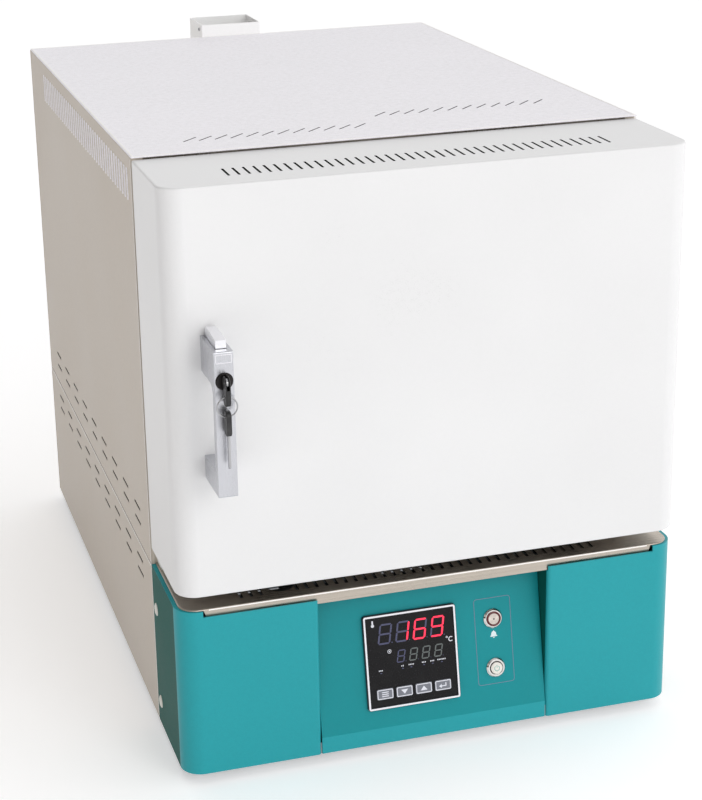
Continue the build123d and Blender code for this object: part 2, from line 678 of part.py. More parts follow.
def element_clamps():
    """Brass clamp blocks on the rod ends."""
    half = CLAMP[0] / 2
    y0 = CASE_REAR + BUSH_OUT + CLAMP_GAP
    y1 = y0 + CLAMP[1]
    clamps = []
    for x, z in tail_places():
        body = block(x - half, x + half, y0, y1, z - half, z + CLAMP_RISE)
        body = fillet(body.edges().filter_by(Axis.Y), 2)
        body = body - rod(ROD_R + FIT, y0 - 1, y1 + 1, x, z)
        clamps.append(body)
    return group(clamps)


def thermocouple():
    """Sheathed probe with a collar and a connection head."""
    tip = CH_REAR - PROBE_IN
    collar_y = CASE_REAR + THIN
    head_y = collar_y + COLLAR[1]
    sheath = rod(PROBE_R, tip, collar_y, PROBE_X, PROBE_Z)
    sheath = fillet(sheath.edges().sort_by(Axis.Y)[0], PROBE_R * 0.6)
    collar = rod(COLLAR[0], collar_y, head_y, PROBE_X, PROBE_Z)
    head = collar + rod(HEAD[0], head_y, head_y + HEAD[1], PROBE_X, PROBE_Z)
    head = fillet(head.edges().sort_by(Axis.Y)[-1], 4)
    return sheath + head


def exhaust_tube():
    y1 = CHIMNEY_Y0 + THIN
    tube = rod(EXHAUST_R, CH_REAR, y1, 0, EXHAUST_Z)
    return tube - rod(EXHAUST_BORE, CH_REAR - 1, y1 + 1, 0, EXHAUST_Z)


def chimney():
    """Open-topped duct on the rear panel with screw ears."""
    w, d = CHIMNEY
    z0 = EXHAUST_Z - CHIMNEY_DROP
    z1 = TOP_Z + CHIMNEY_TOP
    outer = block(-w / 2, w / 2, CHIMNEY_Y0, CHIMNEY_Y0 + d, z0, z1)
    duct = offset(outer, amount=-THIN, openings=outer.faces().sort_by(Axis.Z)[-1])
    ear_top = TOP_Z - SHEET - FIT
    for side in (-1, 1):
        x0, x1 = sorted((side * w / 2, side * (w / 2 + FLANGE)))
        ear = block(x0, x1, CHIMNEY_Y0, CHIMNEY_Y0 + THIN, z0, ear_top)
        duct = duct + ear
    return duct - rod(EXHAUST_R + FIT, CHIMNEY_Y0 - 5, CHIMNEY_Y0 + 5, 0, EXHAUST_Z)


# ---------------------------------------------------------------- electrical parts in the base
def heat_sink():
    """Finned heat sink of the power relay, on the base pan."""
    width, length, height = SINK
    section = Pos(0, SINK_BASE / 2) * Rectangle(width, SINK_BASE)
    fin = height - SINK_BASE + 1
    for x in row(int((width - FIN) / FIN_PITCH) + 1, FIN_PITCH):
        section = section + Pos(x, height - fin / 2) * Rectangle(FIN, fin)
    sink = extrude(Plane.XZ * section, length / 2, both=True)
    return Pos(POWER_IN[0] - HALF_W, REAR_Y - POWER_IN[1], BASE_Z + SHEET) * sink


def solid_state_relay():
    """Relay block that stands on the heat sink, with a groove along its top."""
    width, depth, height = RELAY
    body = fillet(Box(width, depth, height).edges().filter_by(Axis.Z), 3)
    groove_w, groove_d = RELAY_GROOVE
    body = body - Pos(0, 0, height / 2) * Box(groove_w, 2 * depth, 2 * groove_d)
    z = BASE_Z + SHEET + SINK[2] + height / 2
    return Pos(POWER_IN[0] - HALF_W, REAR_Y - POWER_IN[1], z) * body


def terminal_block():
    width, depth, height = TERMINALS
    bore_r, bore_deep = TERMINAL_BORE
    x1 = HALF_W - TERMINALS_IN[0]
    y1 = REAR_Y - TERMINALS_IN[1]
    z1 = BASE_Z + SHEET + height
    body = block(x1 - width, x1, y1 - depth, y1, BASE_Z + SHEET, z1)
    for x in row(int(width / TERMINAL_PITCH), TERMINAL_PITCH):
        body = body - upright(bore_r, z1 - bore_deep, z1 + 1, x1 - width / 2 + x, y1 - depth / 2)
    return body


def rest_pad():
    """Nylon wedge that carries the free corner of the shut door."""
    width, depth = PAD
    y1 = SEAM_Y - FIT
    y0 = y1 - depth
    top = DOOR_Z0 - FIT
    wedge = Polyline(
        (y1, TRAY_Z), (y1, top), (y0 + PAD_NOSE, top), (y0, DOOR_Z0 - PAD_NOSE), (y0, TRAY_Z), close=True
    )
    return Pos(PAD_IN - HALF_W, 0, 0) * extrude(make_face(Plane.YZ * wedge), width)


# ---------------------------------------------------------------- controller and switches
def controller_bezel():
    frame = RectangleRounded(CTL, CTL, 3)
    ring = extrude(frame, BEZEL_H)
    ring = chamfer(ring.faces().sort_by(Axis.Z)[-1].edges(), 1.2)
    ring = ring - Box(CTL - 2 * BEZEL_EDGE, CTL - 2 * BEZEL_EDGE, 4 * BEZEL_H)
    return on_panel(CTL_X, 0) * ring


def controller_case():
    side = CTL - 2 * CASE_IN
    body = extrude(RectangleRounded(side, side, 2), -CTL_CASE)
    return on_panel(CTL_X, 0, CASE_FACE) * body


def key_places():
    return [(x, -KEY_DROP) for x in row(4, KEY_PITCH)]


def controller_face():
    side = CTL - 2 * BEZEL_EDGE - 2 * FIT
    face = RectangleRounded(side, side, 1)
    for x, v in key_places():
        face = face - Pos(x, v) * RectangleRounded(KEY[0] + 2 * FIT, KEY[1] + 2 * FIT, 1.5)
    return on_panel(CTL_X, 0, CASE_FACE) * extrude(face, BEZEL_H - FACE_DOWN - CASE_FACE)


def controller_key(x, v):
    top = BEZEL_H - FACE_DOWN + KEY_PROUD
    bottom = CASE_FACE + KEY_TRAVEL + 0.2
    cap = extrude(RectangleRounded(KEY[0], KEY[1], 1.5), top - bottom)
    cap = fillet(cap.faces().sort_by(Axis.Z)[-1].edges(), 0.4)
    return on_panel(CTL_X + x, v, bottom) * cap


def switch_body(v):
    """Metal switch body: bevelled bezel, barrel through the panel, nut behind."""
    profile = Polyline(
        (CAP_R + FIT, -CAP_WELL), (CAP_R + FIT, 1.2), (CAP_R + 1.1, 2.4), (SWITCH_R - 1.5, 2.4),
        (SWITCH_R, 0.9), (SWITCH_R, 0), (BARREL_R, 0), (BARREL_R, -CAP_WELL - 12), (0, -CAP_WELL - 12),
        (0, -CAP_WELL), close=True,
    )
    body = revolve(make_face(Plane.XZ * profile), Axis.Z)
    nut = extrude(RegularPolygon(10.5, 6, major_radius=False), 4) - Pos(0, 0, 2) * Cylinder(BARREL_R, 10)
    body = body + Pos(0, 0, -SHEET - 4.2) * nut
    return on_panel(SWITCH_X, v) * body


def switch_cap(v):
    """Round push cap with a dished face."""
    low = CAP_TRAVEL + 0.5 - CAP_WELL
    profile = Polyline(
        (0, low), (CAP_R, low), (CAP_R, 2.2), (CAP_R - 0.6, 2.8),
        (CAP_R - 1.4, 2.8), (CAP_R - 2.6, 2.0), (0, 1.4), close=True,
    )
    return on_panel(SWITCH_X, v) * revolve(make_face(Plane.XZ * profile), Axis.Z)


# ---------------------------------------------------------------- door
def rod_slot(y0, y1, spare):
    """Clearance slot for the latch rod and its lift."""
    x = ROD_W / 2 + spare
    return block(
        GRIP_X - x, GRIP_X + x, y0, y1, ROD_Z - ROD_TALL / 2 - spare, ROD_Z + ROD_TALL / 2 + LIFT + spare
    )


def door_shell():
    """Deep door pan, open to the rear, with cooling slots in its top and underside."""
    plan = Pos(0, (DOOR_Y0 + DOOR_Y1) / 2) * Rectangle(2 * DOOR_X, DOOR_T)
    plan = fillet(plan.vertices().group_by(Axis.Y)[0], CORNER_R)
    outer = Pos(0, 0, DOOR_Z0) * extrude(plan, DOOR_Z1 - DOOR_Z0)
    rims = outer.faces().sort_by(Axis.Z)[0].edges() + outer.faces().sort_by(Axis.Z)[-1].edges()
    rims = [e for e in rims if e.center().Y < DOOR_Y1 - 1]
    outer = fillet(rims, DOOR_EDGE_R)
    inside = Pos(0, (DOOR_Y0 + DOOR_Y1) / 2 + SHEET) * Rectangle(2 * (DOOR_X - SHEET), DOOR_T)
    inside = fillet(inside.vertices().group_by(Axis.Y)[0], CORNER_R - SHEET)
    hollow = Pos(0, 0, DOOR_Z0 + SHEET) * extrude(inside, DOOR_Z1 - DOOR_Z0 - 2 * SHEET)
    shell = outer - hollow
    slot_y = DOOR_Y0 + DOOR_SLOT_BACK
    tall = 2 * (DOOR_Z1 - DOOR_Z0)
    shell = shell - [
        Pos(x, slot_y, DOOR_Z0) * Box(*DOOR_SLOT, tall) for x in row(DOOR_SLOTS, DOOR_SLOT_PITCH)
    ]
    shell = shell - lever_tail_slot()
    for z in screw_heights():
        shell = shell - rod(SCREW_R + 0.3, DOOR_Y0 - 1, DOOR_Y0 + 5, GRIP_X, z)
    return shell


def door_baffle():
    """Sheet that parts the door's air space from its insulation."""
    x = DOOR_X - SHEET - FIT
    z0 = DOOR_Z0 + SHEET + FIT
    z1 = DOOR_Z1 - SHEET - FIT
    plate = block(-x, x, WOOL_FRONT - THIN, WOOL_FRONT, z0, z1)
    return plate - rod_slot(WOOL_FRONT - 5, WOOL_FRONT + 5, 1.0)


def door_wool():
    x = DOOR_X - SHEET - FIT
    z0 = DOOR_Z0 + SHEET + FIT
    z1 = DOOR_Z1 - SHEET - FIT
    board = block(-x, x, WOOL_FRONT, LINER_Y - SHEET, z0, z1)
    half = POCKET_HALF + 1
    top = ROD_Z + ROD_TALL / 2 + LIFT + 2
    pocket = block(GRIP_X - half, GRIP_X + half, KEEPER_Y - 2, LINER_Y, ROD_Z - POCKET_DOWN - 1, top)
    return board - rod_slot(WOOL_FRONT - 1, LINER_Y, 1.0) - pocket


def door_liner():
    """Inner plate of the door, screwed inside the shell, with the keeper's opening."""
    x = DOOR_X - SHEET - FIT
    z0 = DOOR_Z0 + SHEET + FIT
    z1 = DOOR_Z1 - SHEET - FIT
    plate = block(-x, x, LINER_Y - SHEET, LINER_Y, z0, z1)
    half = POCKET_HALF
    top = ROD_Z + ROD_TALL / 2 + LIFT + 1
    opening = block(GRIP_X - half, GRIP_X + half, LINER_Y - 5, LINER_Y + 5, ROD_Z - POCKET_DOWN, top)
    return plate - opening


def door_plug():
    """Tapered fibre block that fills the chamber mouth."""
    root = RectangleRounded(CH_W - 2 * PLUG_GAP, CH_H - 2 * PLUG_GAP, PLUG_CORNER)
    plug = extrude(root, PLUG_REACH, taper=PLUG_TAPER)
    return Pos(0, LINER_Y, CHAMBER_Z) * Rot(-90, 0, 0) * plug


def door_gasket():
    """Rope gasket round the plug."""
    loop = RectangleRounded(CH_W + 2 * GASKET_OUT, CH_H + 2 * GASKET_OUT, GASKET_BEND).wire()
    seat = Plane(origin=(0, LINER_Y + GASKET_R, CHAMBER_Z), x_dir=(1, 0, 0), z_dir=(0, -1, 0))
    line = seat * loop
    section = Plane(origin=line @ 0, x_dir=(0, 1, 0), z_dir=line % 0) * Circle(GASKET_R)
    return sweep(section, path=line)


def screw_heights():
    return (GRIP_LOW + LOWER_FOOT / 2, GRIP_TOP - UPPER_FOOT + 5)


def handle_body():
    """C-shaped handle on two feet with a slot for the thumb lever and a bore for the lock."""
    out = GRIP_OUT
    back = out - GRIP_T
    outline = FilletPolyline(
        (0, GRIP_LOW), (-out, GRIP_LOW), (-out, GRIP_TOP), (0, GRIP_TOP), (0, GRIP_TOP - UPPER_FOOT),
        (-back, GRIP_TOP - UPPER_FOOT), (-back, GRIP_LOW + LOWER_FOOT), (0, GRIP_LOW + LOWER_FOOT),
        radius=[0, 1.5, 1.5, 0, 0, 9.0, 2.0, 0], close=True,
    )
    body = extrude(Plane.YZ * make_face(outline), GRIP_W / 2, both=True)
    body = Pos(GRIP_X, DOOR_Y0, 0) * body
    body = body - lever_slot() - rod(LOCK_R + 0.1, GRIP_Y - 1, GRIP_Y + LOCK_DEEP + FIT, GRIP_X, LOCK_Z)
    groove = block(GRIP_X - 6.5, GRIP_X + 6.5, GRIP_Y - 1, GRIP_Y + 0.4, GRIP_TOP - 9.5, GRIP_TOP - 8.7)
    body = body - groove
    for z in screw_heights():
        body = body - rod(SCREW_R + 0.05, DOOR_Y0 - SCREW_IN - 1, DOOR_Y0 + 1, GRIP_X, z)
    return body


def handle_screws():
    screws = []
    for z in screw_heights():
        shank = rod(SCREW_R, DOOR_Y0 - SCREW_IN, DOOR_Y0 + SHEET, GRIP_X, z)
        head = rod(4.6, DOOR_Y0 + SHEET, DOOR_Y0 + SHEET + 3, GRIP_X, z)
        screws.append(shank + head)
    return group(screws)


def across_handle(y, z, radius, length):
    """Round pin along X in the handle's middle plane."""
    return Pos(GRIP_X, y, z) * Rot(0, 90, 0) * Cylinder(radius, length)


def lever_slot():
    half = LEVER_W / 2 + FIT
    x0 = GRIP_X - half
    x1 = GRIP_X + half
    well = block(x0, x1, DOOR_Y0 - LEVER_FRONT - 1.6, DOOR_Y0 + 1, GRIP_TOP - 18.0, GRIP_TOP + 1)
    tail_well = block(x0, x1, DOOR_Y0 - PIVOT_D, DOOR_Y0 + 1, GRIP_TOP - 20.0, GRIP_TOP - 10.0)
    pin = across_handle(DOOR_Y0 - PIVOT_D, PIVOT_Z, PIVOT_R + 0.03, GRIP_W - 4)
    return well + tail_well + pin


def lever_tail_slot():
    half = LEVER_W / 2 + 1.5
    return block(GRIP_X - half, GRIP_X + half, DOOR_Y0 - 1, DOOR_Y0 + 5, ROD_Z - 9, GRIP_TOP - 1)


def thumb_lever():
    """Arched lever in the top of the handle; its tail lifts the latch rod inside the door."""
    top = GRIP_TOP + LEVER_RISE
    low = GRIP_TOP - 6.5
    tail_z = ROD_Z - ROD_TALL / 2 - 0.25
    front = -LEVER_FRONT
    arm = make_face(Polyline(
        (-1.5, low), (-1.5, top - 6), (-4.5, top), (-20, top + 0.8), (front, top - 1.4), (front, low),
        close=True,
    ))
    tail = make_face(
        Polyline((-16, low + 2), (-3, low + 2), (3.2, tail_z), (TAIL - PIVOT_D, tail_z),
                 (TAIL - PIVOT_D, tail_z - 3.0), (0.5, tail_z - 3.0), (-7, low - 3.0), (-16, low), close=True)
    )
    wide = extrude(Plane.YZ * arm, LEVER_W / 2, both=True)
    narrow = extrude(Plane.YZ * tail, 2.5, both=True)
    lever = Pos(GRIP_X, DOOR_Y0, 0) * (wide + narrow)
    edges = lever.edges().filter_by(Axis.Y, tolerance=8).group_by(Axis.Z)[-1]
    pin = across_handle(DOOR_Y0 - PIVOT_D, PIVOT_Z, PIVOT_R, GRIP_W - 5)
    return fillet(edges, 1.0) + pin


def latch_rod():
    """Flat rod through the door; its nose rests on the keeper's ramp behind the inner plate."""
    y0 = DOOR_Y0 + SHEET + 3
    y1 = LINER_Y + 2
    z0 = ROD_Z - ROD_TALL / 2
    z1 = ROD_Z + ROD_TALL / 2
    nose = Polyline(
        (y0, z0), (y0, z1), (y1, z1), (y1, z0 - 1), (y1 - 4, z0 - 4), (y1 - 7, z0 - 4), (y1 - 10, z0),
        close=True,
    )
    return Pos(GRIP_X, 0, 0) * extrude(Plane.YZ * make_face(nose), ROD_W / 2, both=True)


def keeper():
    """Ramp on the front frame that the latch rod's nose settles on."""
    z = ROD_Z - ROD_TALL / 2 - 4 - FIT
    plate = block(GRIP_X - 12, GRIP_X + 12, FRAME_Y - SHEET, FRAME_Y, ROD_Z - 28, ROD_Z + 16)
    foot_y = FRAME_Y - SHEET
    low = ROD_Z - 13
    ramp = Polyline((foot_y, low), (foot_y, z), (KEEPER_Y, z - 1.2), (KEEPER_Y, low), close=True)
    return plate + Pos(GRIP_X, 0, 0) * extrude(Plane.YZ * make_face(ramp), 6, both=True)


# ---------------------------------------------------------------- lock and keys
def lock_barrel():
    """Turning lock barrel with its key slot."""
    barrel = rod(LOCK_R, GRIP_Y - 1.2, GRIP_Y + LOCK_DEEP, GRIP_X, LOCK_Z)
    barrel = chamfer(barrel.edges().sort_by(Axis.Y)[0], 0.8)
    half = TONGUE_T / 2 + 0.1
    slot = block(GRIP_X - half, GRIP_X + half, GRIP_Y - 3, GRIP_Y + 12, LOCK_Z - 4, LOCK_Z + 4)
    return barrel - slot


def key_blade():
    """Key blade in the lock, with the eye that the bow folds on."""
    pivot_y = DOOR_Y0 - BOW_D
    half = TONGUE_T / 2
    blade = block(GRIP_X - half, GRIP_X + half, pivot_y, GRIP_Y + 11, LOCK_Z - 3.5, LOCK_Z + 3.5)
    eye = across_handle(pivot_y, BOW_PIVOT_Z, 4.0, TONGUE_T)
    hinge = across_handle(pivot_y, BOW_PIVOT_Z, 1.0, BOW_T)
    return blade + eye + hinge


def rounded_plate(length, width, thickness, hole_up, hole_r):
    """Flat plate in the YZ plane with rounded ends, hanging down from its eye at the origin."""
    outline = RectangleRounded(width, length, width * 0.42)
    plate = extrude(outline, thickness / 2, both=True)
    plate = chamfer(plate.faces().sort_by(Axis.Z)[-1].edges(), 0.5)
    plate = chamfer(plate.faces().sort_by(Axis.Z)[0].edges(), 0.5)
    plate = Pos(0, -length / 2 + hole_up, 0) * plate
    plate = plate - Cylinder(hole_r, 2 * thickness)
    return Plane(origin=(0, 0, 0), x_dir=(0, 1, 0), z_dir=(1, 0, 0)) * plate


def key_bow():
    """Moulded bow that folds down from the key blade."""
    bow = rounded_plate(BOW_L, BOW_W, BOW_T, BOW_EYE, 1.06)
    gap = Box(TONGUE_T + 2 * FIT, 2 * BOW_W, 13)
    bow = bow - Pos(0, 0, 1.2) * gap
    bow = bow - Pos(0, 0, BOW_HOLE_Z - BOW_PIVOT_Z) * Rot(0, 90, 0) * Cylinder(RING_EYE_R, 3 * BOW_T)
    return Pos(GRIP_X, DOOR_Y0 - BOW_D, BOW_PIVOT_Z) * bow


def key_ring():
    ring = Rot(90, 0, 0) * Torus(RING_R, RING_WIRE)
    return Pos(GRIP_X, DOOR_Y0 - BOW_D, BOW_HOLE_Z - RING_R) * ring


def spare_key_head():
    head = rounded_plate(SPARE_L, SPARE_W, BOW_T, SPARE_EYE, RING_EYE_R)
    socket = Box(TONGUE_T, 6.0, 12.0)
    head = head - Pos(0, 0, SPARE_EYE - SPARE_L) * socket
    return Pos(GRIP_X, DOOR_Y0 - BOW_D, BOW_HOLE_Z - 2 * RING_R) * head


def spare_key_blade():
    """Flat blade with cuts along one edge."""
    outline = Polyline(
        (-3, 0), (3, 0), (3, -6), (2, -8), (3, -10), (1.6, -13), (3, -16), (2.2, -19), (3, -22),
        (1.5, -25), (2, -28), (0, -31), (-3, -29), close=True,
    )
    blade = extrude(Plane.YZ * make_face(outline), (TONGUE_T - 0.2) / 2, both=True)
    half = TONGUE_T / 2 - 0.1
    neck = block(-half, half, -2.9, 2.9, 0, 5.5)
    top = BOW_HOLE_Z - 2 * RING_R + SPARE_EYE - SPARE_L
    return Pos(GRIP_X, DOOR_Y0 - BOW_D, top) * (blade + neck)


# ---------------------------------------------------------------- hinges
def hinge_heights():
    return (DOOR_Z0 + HINGE_INSET, DOOR_Z1 - HINGE_INSET)


def hinge_leaf(toward, low, bore):
    """One leaf and its half of the knuckle; toward is +1 for the cabinet and -1 for the door."""
    clear = HINGE_R + 1
    x = -HINGE_R - FIT + LEAF_T / 2
    plate = Pos(x, toward * (clear + LEAF_L) / 2) * Rectangle(LEAF_T, LEAF_L - clear)
    web = Pos(x, toward * (clear + 1) / 2) * Rectangle(LEAF_T, clear + 1)
    knuckle = extrude(Circle(HINGE_R) + web, HINGE_H / 2 - FIT) - Cylinder(bore, 2 * HINGE_H)
    knuckle_z = -HINGE_H / 2 if low else FIT
    return Pos(0, 0, -HINGE_H / 2) * extrude(plate, HINGE_H) + Pos(0, 0, knuckle_z) * knuckle


def hinge_set(toward, low, bore):
    leaf = hinge_leaf(toward, low, bore)
    return group(Pos(HINGE_X, SEAM_Y - DOOR_GAP / 2, z) * leaf for z in hinge_heights())


def hinge_pins():
    pins = []
    for z in hinge_heights():
        pin = upright(PIN_R, z - HINGE_H / 2 + 2, z + HINGE_H / 2 - 3, HINGE_X, SEAM_Y - DOOR_GAP / 2)
        pins.append(chamfer(pin.edges().sort_by(Axis.Z)[-1], 1))
    return group(pins)


# ---------------------------------------------------------------- grouped boards and plates
def inner_case():
    """Plates of the case round the insulation, on its rails."""
    low = block(-CASE_X, CASE_X, FRAME_BACK, CASE_REAR, CASE_Z0, WOOL_Z0)
    high = block(-CASE_X, CASE_X, FRAME_BACK, CASE_REAR, WOOL_Z1, WOOL_Z1 + THIN)
    return group([low, high, case_side(-1), case_side(1), case_rear()] + case_rails())


def insulation_boards():
    """Ceramic wool boards under, over, beside and behind the chamber."""
    low = block(-CASE_X, CASE_X, FRAME_BACK, CASE_REAR, WOOL_Z0, LINE_Z0)
    high = block(-CASE_X, CASE_X, FRAME_BACK, CASE_REAR, LINE_Z1, WOOL_Z1)
    left = block(-CASE_X, -LINE_X, FRAME_BACK, CASE_REAR, LINE_Z0, LINE_Z1)
    return group([low, high, left, mirrored(left), rear_wool()])


def chamber_boards():
    """Hard fibre boards that line the chamber: floor, roof, grooved sides and rear."""
    low = block(-LINE_X, LINE_X, FRAME_BACK, LINE_REAR, LINE_Z0, FLOOR_Z - HEARTH_T)
    high = block(-LINE_X, LINE_X, FRAME_BACK, LINE_REAR, ROOF_Z, LINE_Z1)
    return group([low, high, lining_side(-1), lining_side(1), lining_rear()])


# ---------------------------------------------------------------- all nodes
PARTS = {
    "base_pan": base_pan(),
    "feet": feet(),
    "front_cover_left": front_cover_left(),
    "front_cover_right": mirrored(front_cover_left()),
    "side_plugs": side_plugs(),
    "control_panel": control_panel(),
    "drip_tray": drip_tray(),
    "lower_side_left": lower_side_left(),
    "lower_side_right": mirrored(lower_side_left()),
    "upper_side_left": upper_side_left(),
    "upper_side_right": mirrored(upper_side_left()),
    "lower_rear_panel": lower_rear_panel(),
    "upper_rear_panel": upper_rear_panel(),
    "cable_gland": cable_gland(),
    "top_cover": top_cover(),
    "deck_plate": deck_plate(),
    "front_frame": front_frame(),
    "inner_case": inner_case(),
    "insulation_boards": insulation_boards(),
    "chamber_boards": chamber_boards(),
    "hearth_plate": hearth_plate(),
    "heating_elements": group([heating_element(-1), heating_element(1)]),
    "element_bushes": element_bushes(),
    "element_clamps": element_clamps(),
    "thermocouple": thermocouple(),
    "exhaust_tube": exhaust_tube(),
    "chimney": chimney(),
    "power_relay": group([heat_sink(), solid_state_relay()]),
    "terminal_block": terminal_block(),
    "rest_pad": rest_pad(),
    "controller_case": controller_case(),
    "controller_bezel": controller_bezel(),
    "controller_face": controller_face(),
    "switch_bodies": group(switch_body(v) for v in SWITCH_V),
    "alarm_button": switch_cap(SWITCH_V[0]),
    "power_button": switch_cap(SWITCH_V[1]),
    "hinge_leaves_cabinet": hinge_set(1, True, PIN_R + 0.02),
    "hinge_pins": hinge_pins(),
    "keeper": keeper(),
    "door_shell": door_shell(),
    "door_baffle": door_baffle(),
    "door_wool": door_wool(),
    "door_liner": door_liner(),
    "door_plug": door_plug(),
    "door_gasket": door_gasket(),
    "hinge_leaves_door": hinge_set(-1, False, PIN_R + 0.06),
    "handle_body": handle_body(),
    "handle_screws": handle_screws(),
    "thumb_lever": thumb_lever(),
    "latch_rod": latch_rod(),
    "lock_barrel": lock_barrel(),
    "key_blade": key_blade(),
    "key_bow": key_bow(),
    "key_ring": key_ring(),
    "spare_key_head": spare_key_head(),
    "spare_key_blade": spare_key_blade(),
}
for number, (key_x, key_v) in enumerate(key_places(), start=1):
    PARTS[f"controller_key_{number}"] = controller_key(key_x, key_v)

os.makedirs("parts", exist_ok=True)
for name, shape in PARTS.items():
    export_step(shape, f"parts/{name}.step")
print(len(PARTS), "nodes")
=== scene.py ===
"""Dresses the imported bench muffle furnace: paints and metals, softened edges, display, legends and small fittings."""

import json
import math

import bmesh
import bpy
from mathutils import Matrix, Vector


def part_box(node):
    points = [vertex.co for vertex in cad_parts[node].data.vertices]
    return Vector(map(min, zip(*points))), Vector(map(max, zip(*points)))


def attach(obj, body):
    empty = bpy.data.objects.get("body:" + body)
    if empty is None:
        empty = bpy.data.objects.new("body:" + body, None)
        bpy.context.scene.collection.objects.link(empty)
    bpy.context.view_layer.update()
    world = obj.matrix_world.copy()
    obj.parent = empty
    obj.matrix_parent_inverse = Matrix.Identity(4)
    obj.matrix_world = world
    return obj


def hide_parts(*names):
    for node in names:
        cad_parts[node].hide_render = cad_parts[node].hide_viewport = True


bl_info = {
    "name": "Bench muffle furnace",
    "version": (1, 0, 0),
    "blender": (4, 5, 0),
    "location": "3D View > Sidebar > Furnace",
    "description": "Finishes, display and small fittings of a bench muffle furnace",
    "category": "Object",
}

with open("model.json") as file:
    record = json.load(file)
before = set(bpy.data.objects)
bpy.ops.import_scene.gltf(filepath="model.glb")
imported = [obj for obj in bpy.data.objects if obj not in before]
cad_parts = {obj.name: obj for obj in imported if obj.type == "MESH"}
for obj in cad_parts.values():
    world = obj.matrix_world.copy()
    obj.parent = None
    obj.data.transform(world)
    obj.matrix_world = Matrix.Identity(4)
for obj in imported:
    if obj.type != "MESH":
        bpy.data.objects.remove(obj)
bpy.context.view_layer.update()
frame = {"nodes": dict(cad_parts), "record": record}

MM = 0.001
PANEL_TILT = 0.19  # radians, the control panel leans back by this
MOUTH_HALF = 80 * MM  # half the height of the chamber's mouth
STRIP_TOP = 29 * MM  # upper edge of the control panel's bottom strip
FACE_LIFT = 3.2 * MM  # the controller's window above the panel
KEY_LIFT = 4.0 * MM  # the face of its keys above the panel
PRINT = 0.12 * MM  # thickness of printed marks
SLOT_OF = {p["node"]: p["material_slot"] for p in frame["record"]["subparts"]}
BODY_OF = {n: b for b, members in frame["record"]["behaviour"]["bodies"].items() for n in members}


def linear(*rgb):
    """Screen colour, 0 to 255, as scene colour."""
    return tuple(((c / 255 + 0.055) / 1.055) ** 2.4 if c > 10 else c / 3294.6 for c in rgb)


# ---------------------------------------------------------------- settings
def colour(name, description, *rgb):
    """Colour setting whose default is given in screen values."""
    return bpy.props.FloatVectorProperty(name=name, description=description, subtype="COLOR", default=linear(*rgb))


def number(name, description, default, **more):
    return bpy.props.FloatProperty(name=name, description=description, default=default, **more)


class PaintSettings(bpy.types.PropertyGroup):
    """Colours of the painted sheet."""

    door: colour("Door", "Door shell", 229, 229, 230)
    hood: colour("Top cover", "Top cover", 248, 246, 251)
    sides: colour("Sides", "Side and rear panels", 198, 188, 176)
    base: colour("Base", "Front covers of the base", 34, 156, 165)
    # darker copy of the base teal: painted shade on the tilted panel under the tray
    panel: colour("Control panel", "Tilted control panel", 8, 140, 147)
    grain: number("Grain", "Size of the paint's grain", 1.1 * MM, unit="LENGTH")


class MetalSettings(bpy.types.PropertyGroup):
    """Colours of the bare metal and how far sharp edges are softened."""

    tray: colour("Tray", "Brushed stainless sheet", 186, 177, 166)
    handle: colour("Handle", "Satin silver handle", 196, 197, 202)
    edge: number("Edge radius", "Softening of folded sheet edges", 0.45 * MM, unit="LENGTH")


class DisplaySettings(bpy.types.PropertyGroup):
    """What the controller shows."""

    reading: bpy.props.IntProperty(name="Reading", description="Number that is lit", default=169, min=0, max=9999)
    lit: colour("Lit", "Colour of lit segments", 255, 40, 74)
    glow: number("Glow", "Brightness of lit segments", 0.9)
    unlit: colour("Unlit", "Colour of unlit segments", 70, 72, 104)


class StageSettings(bpy.types.PropertyGroup):
    """Camera, lamps and floor."""

    eye: bpy.props.FloatVectorProperty(
        name="Camera", description="Camera position", subtype="TRANSLATION", default=(-0.56512, -1.96205, 0.97957)
    )
    turn: bpy.props.FloatVectorProperty(
        name="Turn", description="Camera rotation", subtype="EULER", default=(1.250083, 0.021858, -0.282067)
    )
    lens: number("Lens", "Focal length in millimetres", 85.92)
    key: number("Key lamp", "Power of the main soft lamp, in watts", 20.0)
    fill: number("Fill lamp", "Power of the side lamp, in watts", 3.0)
    sky: number("Room light", "Strength of the even room light", 1.12)
    shade: colour("Shaded side", "Room light from the left", 80, 71, 62)
    lift: number("Floor glow", "Lightens the floor", 0.3)
    floor: colour("Floor", "Floor colour", 250, 250, 251)


# ---------------------------------------------------------------- shader groups
def feed(tree, socket, value):
    """Links an output to an input, or sets the input's number or colour."""
    if isinstance(value, bpy.types.NodeSocket):
        tree.links.new(value, socket)
    else:
        socket.default_value = value


def add(tree, kind, **settings):
    """New node with its properties, and its inputs fed."""
    node = tree.nodes.new(kind)
    for name, value in settings.items():
        if hasattr(node, name) and name not in node.inputs:
            setattr(node, name, value)
        else:
            feed(tree, node.inputs[name], value)
    return node


def calc(tree, operation, a, b=None, clamp=False):
    """Maths node on outputs or numbers; returns its output."""
    node = add(tree, "ShaderNodeMath", operation=operation, use_clamp=clamp)
    feed(tree, node.inputs[0], a)
    if b is not None:
        feed(tree, node.inputs[1], b)
    return node.outputs[0]


def blend_colour(tree, factor, low, high, mode="MIX"):
    """Mix node for colours; returns its output."""
    node = add(tree, "ShaderNodeMix", data_type="RGBA", blend_type=mode)
    for place, value in ((0, factor), (6, low), (7, high)):
        feed(tree, node.inputs[place], value)
    return node.outputs[2]


def remap(tree, value, low, high, to_low=0.0, to_high=1.0):
    """Value spread from one range to another."""
    ends = {"From Min": low, "From Max": high, "To Min": to_low, "To Max": to_high}
    return add(tree, "ShaderNodeMapRange", Value=value, **ends).outputs[0]


FLOAT, COLOUR, VECTOR = "NodeSocketFloat", "NodeSocketColor", "NodeSocketVector"
SURFACE = (("Color", COLOUR), ("Roughness", FLOAT), ("Normal", VECTOR))


